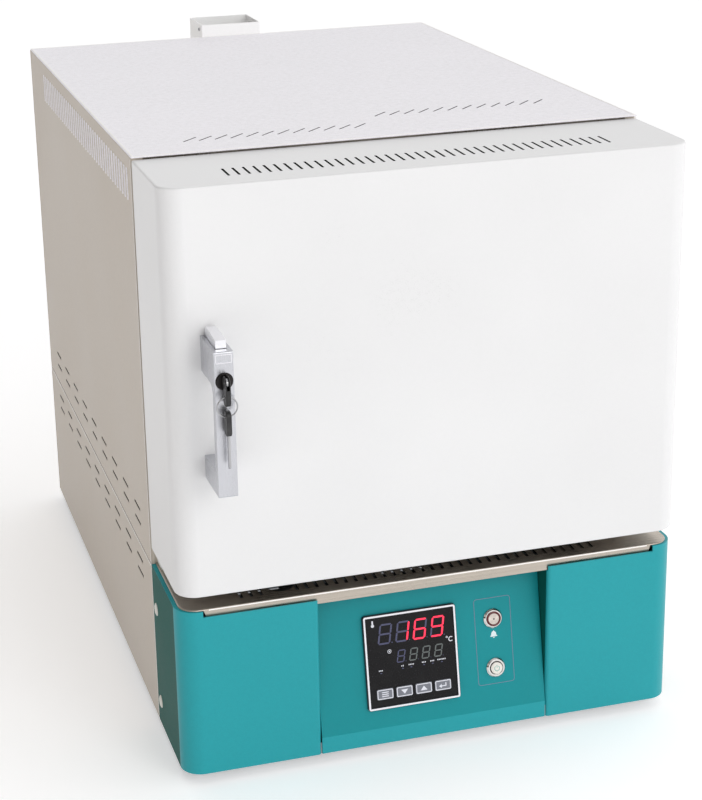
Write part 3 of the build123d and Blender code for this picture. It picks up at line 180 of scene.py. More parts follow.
def new_group(name, inputs, outputs=SURFACE):
    """Shader group with named sockets; returns its tree, its inputs' values, its output node and object space."""
    tree = bpy.data.node_groups.new(name, "ShaderNodeTree")
    for label, kind, value in inputs:
        socket = tree.interface.new_socket(label, in_out="INPUT", socket_type=kind)
        socket.default_value = value
    for label, kind in outputs:
        tree.interface.new_socket(label, in_out="OUTPUT", socket_type=kind)
    given, out = tree.nodes.new("NodeGroupInput"), tree.nodes.new("NodeGroupOutput")
    return tree, given.outputs, out, add(tree, "ShaderNodeTexCoord").outputs["Object"]


def noise(tree, vector, scale, detail=2.0, roughness=0.5, distortion=0.0):
    return add(tree, "ShaderNodeTexNoise", Vector=vector, Scale=scale, Detail=detail, Roughness=roughness,
               Distortion=distortion).outputs["Fac"]


def bump(tree, height, strength, distance):
    return add(tree, "ShaderNodeBump", Height=height, Strength=strength, Distance=distance).outputs["Normal"]


def scaled(tree, colour_in, factor):
    """Colour times a number; returns its output."""
    return add(tree, "ShaderNodeVectorMath", operation="SCALE", Vector=colour_in, Scale=factor).outputs[0]


def send(tree, out, *values):
    """Links values to the group's outputs in their order."""
    for value, socket in zip(values, out.inputs):
        tree.links.new(value, socket)


def powder_group():
    """Powder coat: fine raised grain, speckle, and slow changes of gloss and tone."""
    tree, given, out, place = new_group(
        "powder_coat",
        (("Base", COLOUR, (0.8, 0.8, 0.8, 1)), ("Grain", FLOAT, 0.001), ("Relief", FLOAT, 0.15),
         ("Speckle", FLOAT, 0.2), ("Gloss", FLOAT, 0.4)),
    )
    scale = calc(tree, "DIVIDE", 1.0, given["Grain"])
    grain = noise(tree, place, scale, 3.0, 0.6)
    coarse = noise(tree, place, calc(tree, "MULTIPLY", scale, 0.22), 2.0)
    cloud = noise(tree, place, 5.0, 3.0)
    fleck = remap(tree, calc(tree, "ADD", calc(tree, "MULTIPLY", grain, 0.7), calc(tree, "MULTIPLY", coarse, 0.3)),
                  0.36, 0.64, -1.0, 1.0)
    change = calc(tree, "ADD", calc(tree, "MULTIPLY", fleck, given["Speckle"]),
                  remap(tree, cloud, 0.3, 0.7, -0.02, 0.02))
    rough = calc(tree, "ADD", given["Gloss"], remap(tree, cloud, 0.3, 0.7, -0.05, 0.05))
    send(tree, out, scaled(tree, given["Base"], calc(tree, "ADD", change, 1.0)),
         calc(tree, "ADD", rough, calc(tree, "MULTIPLY", fleck, 0.03), True),
         bump(tree, grain, given["Relief"], 0.3 * MM))
    return tree


def brushed_group():
    """Brushed metal: long fine scratches across the short way of Stretch, with soft smears."""
    tree, given, out, place = new_group(
        "brushed_metal",
        (("Base", COLOUR, (0.6, 0.6, 0.6, 1)), ("Stretch", VECTOR, (6.0, 900.0, 900.0)), ("Relief", FLOAT, 0.1),
         ("Contrast", FLOAT, 0.2), ("Gloss", FLOAT, 0.3)),
    )
    mapped = add(tree, "ShaderNodeMapping", Vector=place, Scale=given["Stretch"])
    lines = noise(tree, mapped.outputs[0], 1.0, 4.0, 0.65)
    smear = noise(tree, place, 14.0, 4.0)
    spread = remap(tree, lines, 0.3, 0.7, -1.0, 1.0)
    tone = calc(tree, "ADD", calc(tree, "MULTIPLY", spread, given["Contrast"]),
                remap(tree, smear, 0.3, 0.7, 0.95, 1.05))
    rough = calc(tree, "ADD", given["Gloss"], calc(tree, "MULTIPLY", spread, 0.06))
    send(tree, out, scaled(tree, given["Base"], tone),
         calc(tree, "ADD", rough, remap(tree, smear, 0.35, 0.7, -0.05, 0.08), True),
         bump(tree, lines, given["Relief"], 0.1 * MM))
    return tree


def fibre_group():
    """Pressed ceramic fibre: tangled threads, pits and a little yellowing."""
    tree, given, out, place = new_group(
        "ceramic_fibre",
        (("Base", COLOUR, (0.85, 0.83, 0.78, 1)), ("Thread", FLOAT, 0.002), ("Relief", FLOAT, 0.5),
         ("Scorch", FLOAT, 0.1)),
    )
    scale = calc(tree, "DIVIDE", 1.0, given["Thread"])
    thread = noise(tree, place, scale, 5.0, 0.7, 2.5)
    pits = add(tree, "ShaderNodeTexVoronoi", feature="F1", Vector=place, Scale=260.0, Randomness=1.0)
    pit = remap(tree, pits.outputs["Distance"], 0.0, 0.35)
    stain = remap(tree, noise(tree, place, 9.0, 4.0), 0.42, 0.75)
    browned = blend_colour(tree, calc(tree, "MULTIPLY", stain, given["Scorch"], True),
                           given["Base"], (0.42, 0.31, 0.19, 1))
    shade = calc(tree, "MULTIPLY", remap(tree, thread, 0.3, 0.7, 0.82, 1.08), remap(tree, pit, 0.0, 1.0, 0.86, 1.0))
    height = calc(tree, "ADD", thread, calc(tree, "MULTIPLY", pit, 0.5))
    send(tree, out, scaled(tree, browned, shade), remap(tree, thread, 0.2, 0.8, 0.88, 1.0),
         bump(tree, height, given["Relief"], 0.9 * MM))
    return tree


def moulded_group():
    """Moulded plastic or rubber: spark-eroded skin, handling marks and dust."""
    tree, given, out, place = new_group(
        "moulded_skin",
        (("Base", COLOUR, (0.1, 0.1, 0.1, 1)), ("Grain", FLOAT, 0.0004), ("Relief", FLOAT, 0.2),
         ("Dust", FLOAT, 0.1), ("Gloss", FLOAT, 0.45)),
    )
    scale = calc(tree, "DIVIDE", 1.0, given["Grain"])
    grain = noise(tree, place, scale, 2.0)
    marks = remap(tree, noise(tree, place, 60.0, 5.0, 0.65), 0.48, 0.72)
    dusty = blend_colour(tree, calc(tree, "MULTIPLY", marks, given["Dust"], True),
                         given["Base"], (0.45, 0.44, 0.42, 1))
    rough = calc(tree, "ADD", given["Gloss"], calc(tree, "MULTIPLY", marks, 0.15))
    send(tree, out, dusty, calc(tree, "ADD", rough, remap(tree, grain, 0.3, 0.7, -0.04, 0.04), True),
         bump(tree, grain, given["Relief"], 0.15 * MM))
    return tree


def heat_tint_group():
    """Blue to straw tint of steel round the chamber mouth, by distance from its edge."""
    tree, given, out, place = new_group(
        "heat_tint", (("Base", COLOUR, (0.6, 0.6, 0.6, 1)), ("Reach", FLOAT, 0.07)), (("Color", COLOUR),)
    )
    apart = add(tree, "ShaderNodeSeparateXYZ", Vector=place)
    middle = calc(tree, "SUBTRACT", apart.outputs[2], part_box("hearth_plate")[1].z + MOUTH_HALF)
    across, upright = (
        calc(tree, "MAXIMUM", calc(tree, "SUBTRACT", calc(tree, "ABSOLUTE", off), reach), 0.0)
        for off, reach in ((apart.outputs[0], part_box("hearth_plate")[1].x), (middle, MOUTH_HALF))
    )
    away = calc(tree, "SQRT", calc(tree, "ADD", calc(tree, "MULTIPLY", across, across),
                                   calc(tree, "MULTIPLY", upright, upright)))
    wavy = calc(tree, "ADD", calc(tree, "DIVIDE", away, given["Reach"]),
                remap(tree, noise(tree, place, 30.0, 3.0), 0.3, 0.7, -0.12, 0.12))
    ramp = add(tree, "ShaderNodeValToRGB")
    stops = ramp.color_ramp.elements
    stops[0].color, stops[1].color = (0.30, 0.28, 0.36, 1), (1, 1, 1, 1)
    for at, tint in ((0.25, (0.52, 0.40, 0.36, 1)), (0.55, (0.95, 0.80, 0.56, 1))):
        stops.new(at).color = tint
    tree.links.new(wavy, ramp.inputs[0])
    tree.links.new(blend_colour(tree, 0.6, given["Base"], ramp.outputs[0], "MULTIPLY"), out.inputs["Color"])
    return tree


GROUPS = {}
FINISHES = {}


def finish(name, group, base, values, metallic=0.0, tint=None, **sockets):
    """Material on a Principled shader fed by one surface group."""
    material = bpy.data.materials.new(name)
    material.use_nodes = True
    tree = material.node_tree
    shader = tree.nodes["Principled BSDF"]
    skin = add(tree, "ShaderNodeGroup", node_tree=GROUPS[group], **values)
    colour = (*base, 1.0)
    if tint is not None:
        warmed = add(tree, "ShaderNodeGroup", node_tree=GROUPS["heat_tint"], Base=colour, Reach=tint)
        colour = warmed.outputs["Color"]
    feed(tree, skin.inputs["Base"], colour)
    for label, socket in (("Color", "Base Color"), ("Roughness", "Roughness"), ("Normal", "Normal")):
        tree.links.new(skin.outputs[label], shader.inputs[socket])
    shader.inputs["Metallic"].default_value = metallic
    if "Anisotropic" in sockets:
        around = add(tree, "ShaderNodeTangent", direction_type="RADIAL", axis="Y")
        tree.links.new(around.outputs[0], shader.inputs["Tangent"])
    for label, value in sockets.items():
        shader.inputs[label.replace("_", " ")].default_value = value
    FINISHES[name] = material


class FURNACE_OT_finishes(bpy.types.Operator):
    """Makes the shader groups and every material"""

    bl_idname = "furnace.finishes"
    bl_label = "Finishes"

    def execute(self, context):
        paint = context.scene.furnace_paint
        metal = context.scene.furnace_metal
        show = context.scene.furnace_display
        for label, build in (("powder", powder_group), ("brushed", brushed_group), ("fibre", fibre_group),
                             ("moulded", moulded_group), ("heat_tint", heat_tint_group)):
            GROUPS[label] = build()

        def coat(name, base, relief, speckle, gloss, **sockets):
            values = {"Grain": paint.grain, "Relief": relief, "Speckle": speckle, "Gloss": gloss}
            finish(name, "powder", base, values, **sockets)

        coat("white_paint", paint.door, 0.10, 0.010, 0.34, Coat_Weight=0.12, Coat_Roughness=0.25)
        coat("light_grey", paint.hood, 0.35, 0.10, 0.50)
        coat("beige", paint.sides, 0.25, 0.05, 0.48)
        coat("teal", paint.base, 0.12, 0.03, 0.40, Specular_IOR_Level=0.25)
        # darker teal for the front covers' side faces: painted shade and painted dark reflection
        coat("teal_painted_shade", linear(12, 88, 80), 0.12, 0.03, 0.50, Specular_IOR_Level=0.08)
        # brighter copy of the door's white for the exhaust duct: painted light
        coat("duct_white_painted_light", linear(253, 253, 253), 0.05, 0.01, 0.34)
        # near-white strips along folds and seams: painted highlights
        coat("edge_painted_highlight", linear(252, 249, 246), 0.05, 0.02, 0.40)
        # the base teal darkened: painted shade on the tilted control panel
        coat("teal_dark", paint.panel, 0.12, 0.03, 0.42, Specular_IOR_Level=0.25)

        def bare(name, base, stretch, relief, contrast, gloss, tint=None, **sockets):
            values = {"Stretch": stretch, "Relief": relief, "Contrast": contrast, "Gloss": gloss}
            finish(name, "brushed", base, values, metallic=1.0, tint=tint, **sockets)

        bare("stainless", metal.tray, (7.0, 1400.0, 1400.0), 0.10, 0.12, 0.30)
        bare("mouth_steel", metal.tray, (1200.0, 1200.0, 8.0), 0.10, 0.12, 0.30, tint=0.075)
        bare("galv", linear(170, 172, 175), (90.0, 120.0, 110.0), 0.12, 0.18, 0.42)
        bare("steel", linear(176, 176, 178), (700.0, 700.0, 30.0), 0.10, 0.10, 0.30)
        bare("satin_silver", metal.handle, (1500.0, 1500.0, 26.0), 0.08, 0.05, 0.27)
        bare("rod_alloy", linear(178, 179, 182), (900.0, 12.0, 900.0), 0.08, 0.08, 0.30)
        bare("chrome", linear(214, 212, 210), (160.0, 160.0, 160.0), 0.03, 0.03, 0.12)
        bare("aluminium", linear(186, 187, 190), (700.0, 8.0, 700.0), 0.10, 0.08, 0.34)
        bare("spun_steel", linear(206, 196, 188), (700.0, 700.0, 700.0), 0.05, 0.05, 0.30, Anisotropic=0.85)
        bare("lever_plate", linear(238, 238, 241), (500.0, 60.0, 500.0), 0.06, 0.03, 0.34)
        # dark walls of slots and small openings: painted shade inside them
        bare("slot_wall_painted_shade", linear(40, 38, 36), (300.0, 300.0, 300.0), 0.3, 0.25, 0.6)
        bare("lock_black", linear(52, 50, 50), (160.0, 160.0, 160.0), 0.05, 0.1, 0.28)
        bare("brass", linear(196, 160, 92), (400.0, 30.0, 400.0), 0.10, 0.10, 0.30)
        bare("element", linear(92, 84, 80), (220.0, 220.0, 220.0), 0.45, 0.30, 0.62)

        finish("ceramic_wool", "fibre", linear(232, 230, 224), {"Thread": 2.4 * MM, "Relief": 0.8, "Scorch": 0.12})
        finish("fibre_board", "fibre", linear(228, 220, 202), {"Thread": 1.2 * MM, "Relief": 0.5, "Scorch": 0.35})
        finish("hearth", "fibre", linear(84, 82, 82), {"Thread": 0.8 * MM, "Relief": 0.5, "Scorch": 0.25})
        finish("ceramic", "moulded", linear(226, 219, 203), {"Grain": 0.6 * MM, "Relief": 0.2, "Dust": 0.2,
                                                            "Gloss": 0.55})

        def moulded(name, base, grain_size, relief, dust, gloss, **sockets):
            values = {"Grain": grain_size * MM, "Relief": relief, "Dust": dust, "Gloss": gloss}
            finish(name, "moulded", base, values, **sockets)

        moulded("rubber", linear(38, 38, 39), 0.7, 0.40, 0.25, 0.68)
        moulded("black_plastic", linear(26, 26, 28), 0.5, 0.25, 0.10, 0.42)
        moulded("white_plastic", linear(226, 225, 218), 0.5, 0.15, 0.10, 0.40)
        moulded("black_gloss", linear(14, 13, 16), 2.0, 0.02, 0.01, 0.26, Specular_IOR_Level=0.2)
        # the silver bezel painted dark navy: painted shade on the frame
        moulded("bezel_painted_shade", linear(30, 34, 44), 0.5, 0.10, 0.04, 0.40)
        # white of the handle's badge frame, also the painted highlight line on the bezel
        moulded("badge_white_and_bezel_highlight", linear(244, 242, 248), 0.4, 0.05, 0.02, 0.35)
        moulded("grey_key", linear(118, 120, 130), 0.4, 0.20, 0.06, 0.44)
        moulded("key_print", linear(226, 227, 236), 0.4, 0.05, 0.05, 0.40)
        moulded("panel_print", linear(222, 236, 240), 0.4, 0.05, 0.05, 0.40)
        moulded("outline_print", linear(112, 126, 152), 0.4, 0.05, 0.05, 0.40)
        moulded("unlit_segment", show.unlit, 0.5, 0.05, 0.03, 0.35)
        moulded("unlit_grey", linear(96, 102, 102), 0.5, 0.05, 0.03, 0.35)
        moulded("lit_segment", show.lit, 0.5, 0.02, 0.0, 0.35, Emission_Color=(*show.lit, 1.0),
                Emission_Strength=show.glow)
        moulded("red_lens", linear(92, 10, 18), 0.5, 0.05, 0.02, 0.30)
        moulded("pale_lens", linear(234, 230, 222), 0.5, 0.05, 0.02, 0.30, Coat_Weight=0.3)
        moulded("green_lens", linear(104, 176, 168), 0.5, 0.05, 0.0, 0.30)
        return {"FINISHED"}


# ---------------------------------------------------------------- mesh helpers
def keep(name, bm, material, body, slot, sharp=32.0, outward=True):
    """Turns a bmesh into a piece that rides on a body; edges sharper than the angle stay crisp."""
    if outward:
        bmesh.ops.recalc_face_normals(bm, faces=bm.faces)
    for face in bm.faces:
        face.smooth = True
    limit = math.radians(sharp)
    for edge in bm.edges:
        edge.smooth = len(edge.link_faces) == 2 and edge.calc_face_angle(0.0) < limit
    mesh = bpy.data.meshes.new(name)
    bm.to_mesh(mesh)
    bm.free()
    mesh.materials.append(FINISHES[material])
    piece = bpy.data.objects.new(name, mesh)
    bpy.context.scene.collection.objects.link(piece)
    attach(piece, body)
    return piece


def thicken(bm, faces, place, thickness):
    """Pulls faces out along the local Z of place."""
    raised = bmesh.ops.extrude_face_region(bm, geom=faces)["geom"]
    tips = [g for g in raised if isinstance(g, bmesh.types.BMVert)]
    bmesh.ops.translate(bm, verts=tips, vec=place.to_3x3() @ Vector((0, 0, thickness)))


def flat(bm, outline, place, lift):
    """One face with the given outline on the plane of place."""
    return bm.faces.new([bm.verts.new(place @ Vector((x, y, lift))) for x, y in outline])


def plate(bm, outline, place, thickness, lift=0.0):
    """Thin plate with the given outline."""
    thicken(bm, [flat(bm, outline, place, lift)], place, thickness)


def lathe(bm, profile, place, steps=32):
    """Turned shape: profile of (radius, height) pairs spun round the local Z of place."""
    old = set(bm.verts)
    points = [bm.verts.new(Vector((r, 0, h))) for r, h in profile]
    edges = [bm.edges.new(pair) for pair in zip(points, points[1:])]
    bmesh.ops.spin(bm, geom=points + edges, cent=(0, 0, 0), axis=(0, 0, 1), dvec=(0, 0, 0), angle=2 * math.pi,
                   steps=steps, use_merge=True)
    turned = [v for v in bm.verts if v not in old]
    bmesh.ops.remove_doubles(bm, verts=turned, dist=1e-7)
    bmesh.ops.transform(bm, matrix=place, verts=[v for v in turned if v.is_valid])


def axes(origin, along, up):
    """Placement whose local Z is along and whose local Y leans to up."""
    z = Vector(along).normalized()
    x = Vector(up).cross(z).normalized()
    y = z.cross(x)
    turn = Matrix((x, y, z)).transposed().to_4x4()
    return Matrix.Translation(Vector(origin)) @ turn


def arc(radius, start, end, steps):
    """Points of an arc, angles in degrees."""
    turns = [math.radians(start + (end - start) * i / steps) for i in range(steps + 1)]
    return [(radius * math.cos(a), radius * math.sin(a)) for a in turns]


def band(inner, outer, start, end, steps=24):
    """Outline of a curved band."""
    return arc(outer, start, end, steps) + arc(inner, end, start, steps)


def rounded(width, height, radius, steps=5):
    """Outline of a rounded rectangle."""
    points = []
    for sx, sy, start in ((1, 1, 0), (-1, 1, 90), (-1, -1, 180), (1, -1, 270)):
        cx, cy = sx * (width / 2 - radius), sy * (height / 2 - radius)
        points += [(cx + x, cy + y) for x, y in arc(radius, start, start + 90, steps)]
    return points


def shifted(outline, x, y):
    return [(px + x, py + y) for px, py in outline]


def oblong(width, height):
    return [(-width / 2, -height / 2), (width / 2, -height / 2), (width / 2, height / 2), (-width / 2, height / 2)]


def mm(points):
    """Outline given in millimetres."""
    return [(x * MM, y * MM) for x, y in points]


def ring_plate(bm, outline, wall, place, thickness, lift=0.0):
    """Closed band that follows an outline, wall wide to the inside."""
    face = flat(bm, outline, place, lift)
    ring = list(face.verts)
    face.normal_update()
    bmesh.ops.inset_region(bm, faces=[face], thickness=wall, use_even_offset=True, use_boundary=True)
    border = [f for f in {f for v in ring for f in v.link_faces} if f is not face]
    bmesh.ops.delete(bm, geom=[face], context="FACES_ONLY")
    thicken(bm, border, place, thickness)


def screw(bm, place, r):
    """Button-head screw of radius r with a dished hexagonal socket."""
    lathe(bm, [(0, -0.2 * r), (r, -0.2 * r), (r, 0.12 * r), (0.86 * r, 0.42 * r), (0.6 * r, 0.58 * r),
               (0.46 * r, 0.6 * r)], place, 18)
    socket = flat(bm, arc(0.46 * r, 0, 300, 5), place, 0.6 * r)
    socket.normal_update()
    bmesh.ops.inset_region(bm, faces=[socket], thickness=0.05 * r, use_boundary=True)
    bmesh.ops.translate(bm, verts=socket.verts, vec=place.to_3x3() @ Vector((0, 0, -0.35 * r)))


# ---------------------------------------------------------------- softened copies of the frame's nodes
SOFT_EDGES = {
    "door_shell": 0.0, "top_cover": 1.6, "upper_side_left": 2.0, "upper_side_right": 2.0, "lower_side_left": 2.0,
    "lower_side_right": 2.0, "upper_rear_panel": 0.7, "lower_rear_panel": 0.7, "front_cover_left": 0.8,
    "front_cover_right": 0.8, "control_panel": 0.7, "drip_tray": 0.6, "chimney": 0.6, "handle_body": 1.3,
    "thumb_lever": 0.8, "lock_barrel": 0.5, "key_blade": 0.4, "key_bow": 0.7, "key_ring": 0.0,
    "spare_key_head": 0.7, "spare_key_blade": 0.3, "controller_bezel": 0.5, "controller_key_1": 0.6,
    "controller_key_2": 0.6, "controller_key_3": 0.6, "controller_key_4": 0.6, "switch_bodies": 0.3,
    "alarm_button": 0.3, "power_button": 0.3, "side_plugs": 0.3, "feet": 1.6, "cable_gland": 0.6,
    "hinge_leaves_cabinet": 0.9, "hinge_leaves_door": 0.9, "hinge_pins": 0.5, "rest_pad": 0.9, "keeper": 0.6,
    "latch_rod": 0.6, "front_frame": 0.5, "exhaust_tube": 0.8, "door_plug": 1.6, "door_liner": 0.5,
    "hearth_plate": 1.2, "heating_elements": 0.0, "thermocouple": 0.6,
}


def chains(edges):
    """Sharp edges gathered into the groups that touch."""
    left = set(edges)
    while left:
        stack = [left.pop()]
        found = set(stack)
        while stack:
            for vert in stack.pop().verts:
                for edge in vert.link_edges:
                    if edge in left:
                        left.remove(edge)
                        found.add(edge)
                        stack.append(edge)
        yield found


SLOTTED = ("top_cover", "door_shell", "drip_tray", "upper_side_left", "upper_side_right", "lower_side_left",
           "lower_side_right", "upper_rear_panel", "lower_rear_panel")


def softened(node, radius):
    """Merged copy of a node with its sharp outer edges rounded; small openings keep crisp walls, painted dark as the
    shade inside them.
    """
    bm = bmesh.new()
    bm.from_mesh(frame["nodes"][node].data)
    bmesh.ops.remove_doubles(bm, verts=bm.verts, dist=1e-6)
    bmesh.ops.dissolve_limit(bm, angle_limit=math.radians(0.4), use_dissolve_boundaries=False,
                             verts=bm.verts, edges=bm.edges)
    sharp = [e for e in bm.edges if len(e.link_faces) == 2 and e.calc_face_angle(0.0) > math.radians(40)]
    if node in SLOTTED:
        kept = []
        for chain in chains(sharp):
            spots = [v.co for e in chain for v in e.verts]
            reach = max(max(c[i] for c in spots) - min(c[i] for c in spots) for i in range(3))
            if reach > 45 * MM:
                kept += chain
                continue
            # walls of small openings take the dark finish, painted shade inside the slots
            for face in {f for e in chain for f in e.link_faces}:
                if all(e in chain for e in face.edges):
                    face.material_index = 1
        sharp = kept
    sharp = [e for e in sharp if e.is_convex]
    if radius:
        bmesh.ops.bevel(bm, geom=sharp, offset=radius, offset_type="OFFSET", affect="EDGES", segments=2,
                        profile=0.5, material=-1, clamp_overlap=True)
    return bm


def repainted(node, bm):
    """Marks the faces of a node that take another finish, most of them painted shade; returns the names of those
    finishes.
    """
    bm.normal_update()
    # slotted sheets: the dark slot walls are painted shade
    if node in SLOTTED:
        return ("slot_wall_painted_shade",)
    if node == "control_panel":
        # rear- and upward-facing faces under the tray take black as painted shade; the tilted face keeps the darker
        # teal, also painted shade; the strip below the bend takes the plain base teal
        for face in bm.faces:
            if face.normal.y > 0.3 or face.normal.z > 0.7:
                face.material_index = 2
            elif face.calc_center_median().z < STRIP_TOP:
                face.material_index = 1
        return ("teal", "black_plastic")
    # the front covers' large side faces take the darker teal as painted shade and painted dark reflection
    if node in ("front_cover_left", "front_cover_right"):
        for face in bm.faces:
            if abs(face.normal.x) > 0.98 and face.calc_area() > 20e-4:
                face.material_index = 1
        return ("teal_painted_shade",)
    return ()


class FURNACE_OT_panels(bpy.types.Operator):
    """Gives the frame's nodes their materials, with softened copies where edges show"""

    bl_idname = "furnace.panels"
    bl_label = "Panels and fittings"

    def execute(self, context):
        edge = context.scene.furnace_metal.edge
        # the exhaust duct takes a brighter copy of the white paint: painted light
        own = {"front_frame": "mouth_steel", "door_liner": "mouth_steel", "lock_barrel": "lock_black",
               "controller_bezel": "bezel_painted_shade", "thumb_lever": "lever_plate", "chimney": "duct_white_painted_light"}
        for node, cad in frame["nodes"].items():
            slot = SLOT_OF[node]
            material = FINISHES[own.get(node, slot)]
            if node in SOFT_EDGES:
                bm = softened(node, SOFT_EDGES[node] * edge)
                extra = repainted(node, bm)
                piece = keep(node + "_skin", bm, own.get(node, slot), BODY_OF[node], slot, 24.0, outward=False)
                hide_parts(node)
                for name in extra:
                    piece.data.materials.append(FINISHES[name])
                piece.modifiers.new("even_shading", "WEIGHTED_NORMAL").keep_sharp = True
            elif len(cad.material_slots):
                for held in cad.material_slots:
                    held.material = material
            else:
                cad.data.materials.append(material)
        return {"FINISHED"}


# ---------------------------------------------------------------- controller
def panel_place():
    """Placement on the control panel's face at the controller's centre: X across, Y up the slope, Z out."""
    up = Vector((0, math.sin(PANEL_TILT), math.cos(PANEL_TILT)))
    out = Vector((0, -math.cos(PANEL_TILT), math.sin(PANEL_TILT)))
    corners = [v.co for v in frame["nodes"]["controller_face"].data.vertices]
    spread = [[c.dot(axis) for c in corners] for axis in (Vector((1, 0, 0)), up, out)]
    across, rise = [(min(row) + max(row)) / 2 for row in spread[:2]]
    middle = Vector((1, 0, 0)) * across + up * rise + out * (max(spread[2]) - FACE_LIFT)
    return Matrix.Translation(middle) @ Matrix((Vector((1, 0, 0)), up, out)).transposed().to_4x4()


def spans(node, place):
    """Lowest and highest corner of a frame node, measured in a placement."""
    home = place.inverted()
    spots = [home @ v.co for v in frame["nodes"][node].data.vertices]
    return [Vector(tuple(pick(s[i] for s in spots) for i in range(3))) for pick in (min, max)]


SEGMENTS = {"0": "abcdef", "1": "bc", "2": "abged", "3": "abgcd", "4": "fgbc", "5": "afgcd", "6": "afgedc",
            "7": "abc", "8": "abcdefg", "9": "abcdfg", " ": ""}
BIG_DIGIT = (13.0, 20.6, 1.7, 0.17)  # width, height and stroke in millimetres, and slant
BIG_ROW = (-34.2, 17.4, 18.0)  # first digit's x and y, and pitch
SMALL_DIGIT = (8.0, 12.8, 1.2, 0.2)
SMALL_ROW = (-16.2, -3.1, 12.9)
LAMPS = ((-9.5, -6.8, 3.0), (-0.8, -6.6, 5.4), (12.4, -6.4, 4.0), (21.4, -6.4, 4.6), (31.0, -6.2, 9.0),
         (-32.0, -8.6, 4.4))  # x, y and width of the small marks
BEZEL_HIGHLIGHT_INSET, BEZEL_HIGHLIGHT_WIDTH = 0.8, 1.7  # painted highlight round the silver bezel
KEY_ROW = -32.4
KEY_SIZE = (16.0, 9.6, 1.2)


def segment(letter, digit, left, foot):
    """One bar of a seven-segment digit whose lower left corner is at left, foot."""
    w, h, s, slant = digit[0], digit[1] / 2, digit[2] / 2, digit[3]
    g = 0.24 * s
    lying = {"a": 2 * h - s, "g": h, "d": s}
    upright = {"f": (s, h), "b": (w - s, h), "e": (s, 0), "c": (w - s, 0)}
    if letter in lying:
        y = lying[letter]
        outline = [(s + g, y), (2 * s + g, y - s), (w - 2 * s - g, y - s), (w - s - g, y), (w - 2 * s - g, y + s),
                   (2 * s + g, y + s)]
    else:
        x, y = upright[letter]
        low, high = (y, y + h - s) if y else (s, h)
        outline = [(x, low + g), (x + s, low + s + g), (x + s, high - s - g), (x, high - g), (x - s, high - s - g),
                   (x - s, low + s + g)]
    return [(px + py * slant + left, py + foot) for px, py in outline]


class FURNACE_OT_display(bpy.types.Operator):
    """Builds the digits, dots and small marks behind the controller's window, and the painted highlight line round it
    """

    bl_idname = "furnace.display"
    bl_label = "Controller display"

    def execute(self, context):
        place = panel_place()
        lit, unlit, marks, grey, painted_bezel_ring = (bmesh.new() for _ in range(5))

        def mark(bm, outline, x=0.0, y=0.0):
            plate(bm, mm(shifted(outline, x, y)), place, PRINT, FACE_LIFT)

        for i, figure in enumerate(f"{context.scene.furnace_display.reading:4d}"):
            x, y = BIG_ROW[0] + BIG_ROW[2] * i, BIG_ROW[1]
            for letter in "abcdefg":
                mark(lit if letter in SEGMENTS[figure] else unlit, segment(letter, BIG_DIGIT, x, y))
            mark(unlit, arc(0.6, 0, 330, 11), x + 15.0, y + 1.0)
        for i in range(4):
            x, y = SMALL_ROW[0] + SMALL_ROW[2] * i, SMALL_ROW[1]
            for letter in "abcdefg":
                mark(grey if i else unlit, segment(letter, SMALL_DIGIT, x, y))
            mark(unlit, arc(0.4, 0, 330, 11), x + 9.9, y + 0.7)
        for x, y, wide in LAMPS:
            for k in range(max(2, round(wide / 1.5))):
                mark(marks, rounded(0.9, 1.3, 0.2, 2), x - wide / 2 + 1.5 * k, y)
            mark(unlit, rounded(1.8, 0.9, 0.2, 2), x - 0.4, y - 2.6)
        # degree ring and C, thermometer beside the reading, target beside the set value
        for outline, x, y in ((band(0.55, 1.05, 0, 359, 20), 37.2, 15.2), (band(1.7, 2.6, 45, 315, 24), 41.3, 12.9),
                              (rounded(1.5, 4.6, 0.7, 4), -38.0, 40.2), (arc(1.6, 0, 345, 23), -38.0, 37.4),
                              (band(1.5, 2.0, 0, 359, 24), -22.6, 9.6), (arc(0.7, 0, 330, 11), -22.6, 9.6)):
            mark(marks, outline, x, y)
        low, high = spans("controller_bezel", place)
        middle, size = (low + high) / 2, (high - low) / MM
        # white ring on the bezel: painted highlight along its lit edge
        ring_plate(painted_bezel_ring, mm(rounded(size.x - 2 * BEZEL_HIGHLIGHT_INSET, size.y - 2 * BEZEL_HIGHLIGHT_INSET, 2.0)), BEZEL_HIGHLIGHT_WIDTH * MM,
                   place @ Matrix.Translation((middle.x, middle.y, 0)), PRINT, high.z - 0.02 * MM)
        keep("display_lit", lit, "lit_segment", "cabinet", "black_gloss")
        keep("bezel_painted_highlight", painted_bezel_ring, "badge_white_and_bezel_highlight", "cabinet", "silver_plastic")
        keep("display_grey", grey, "unlit_grey", "cabinet", "black_gloss")
        keep("display_unlit", unlit, "unlit_segment", "cabinet", "black_gloss")
        keep("display_marks", marks, "key_print", "cabinet", "white_plastic")
        return {"FINISHED"}


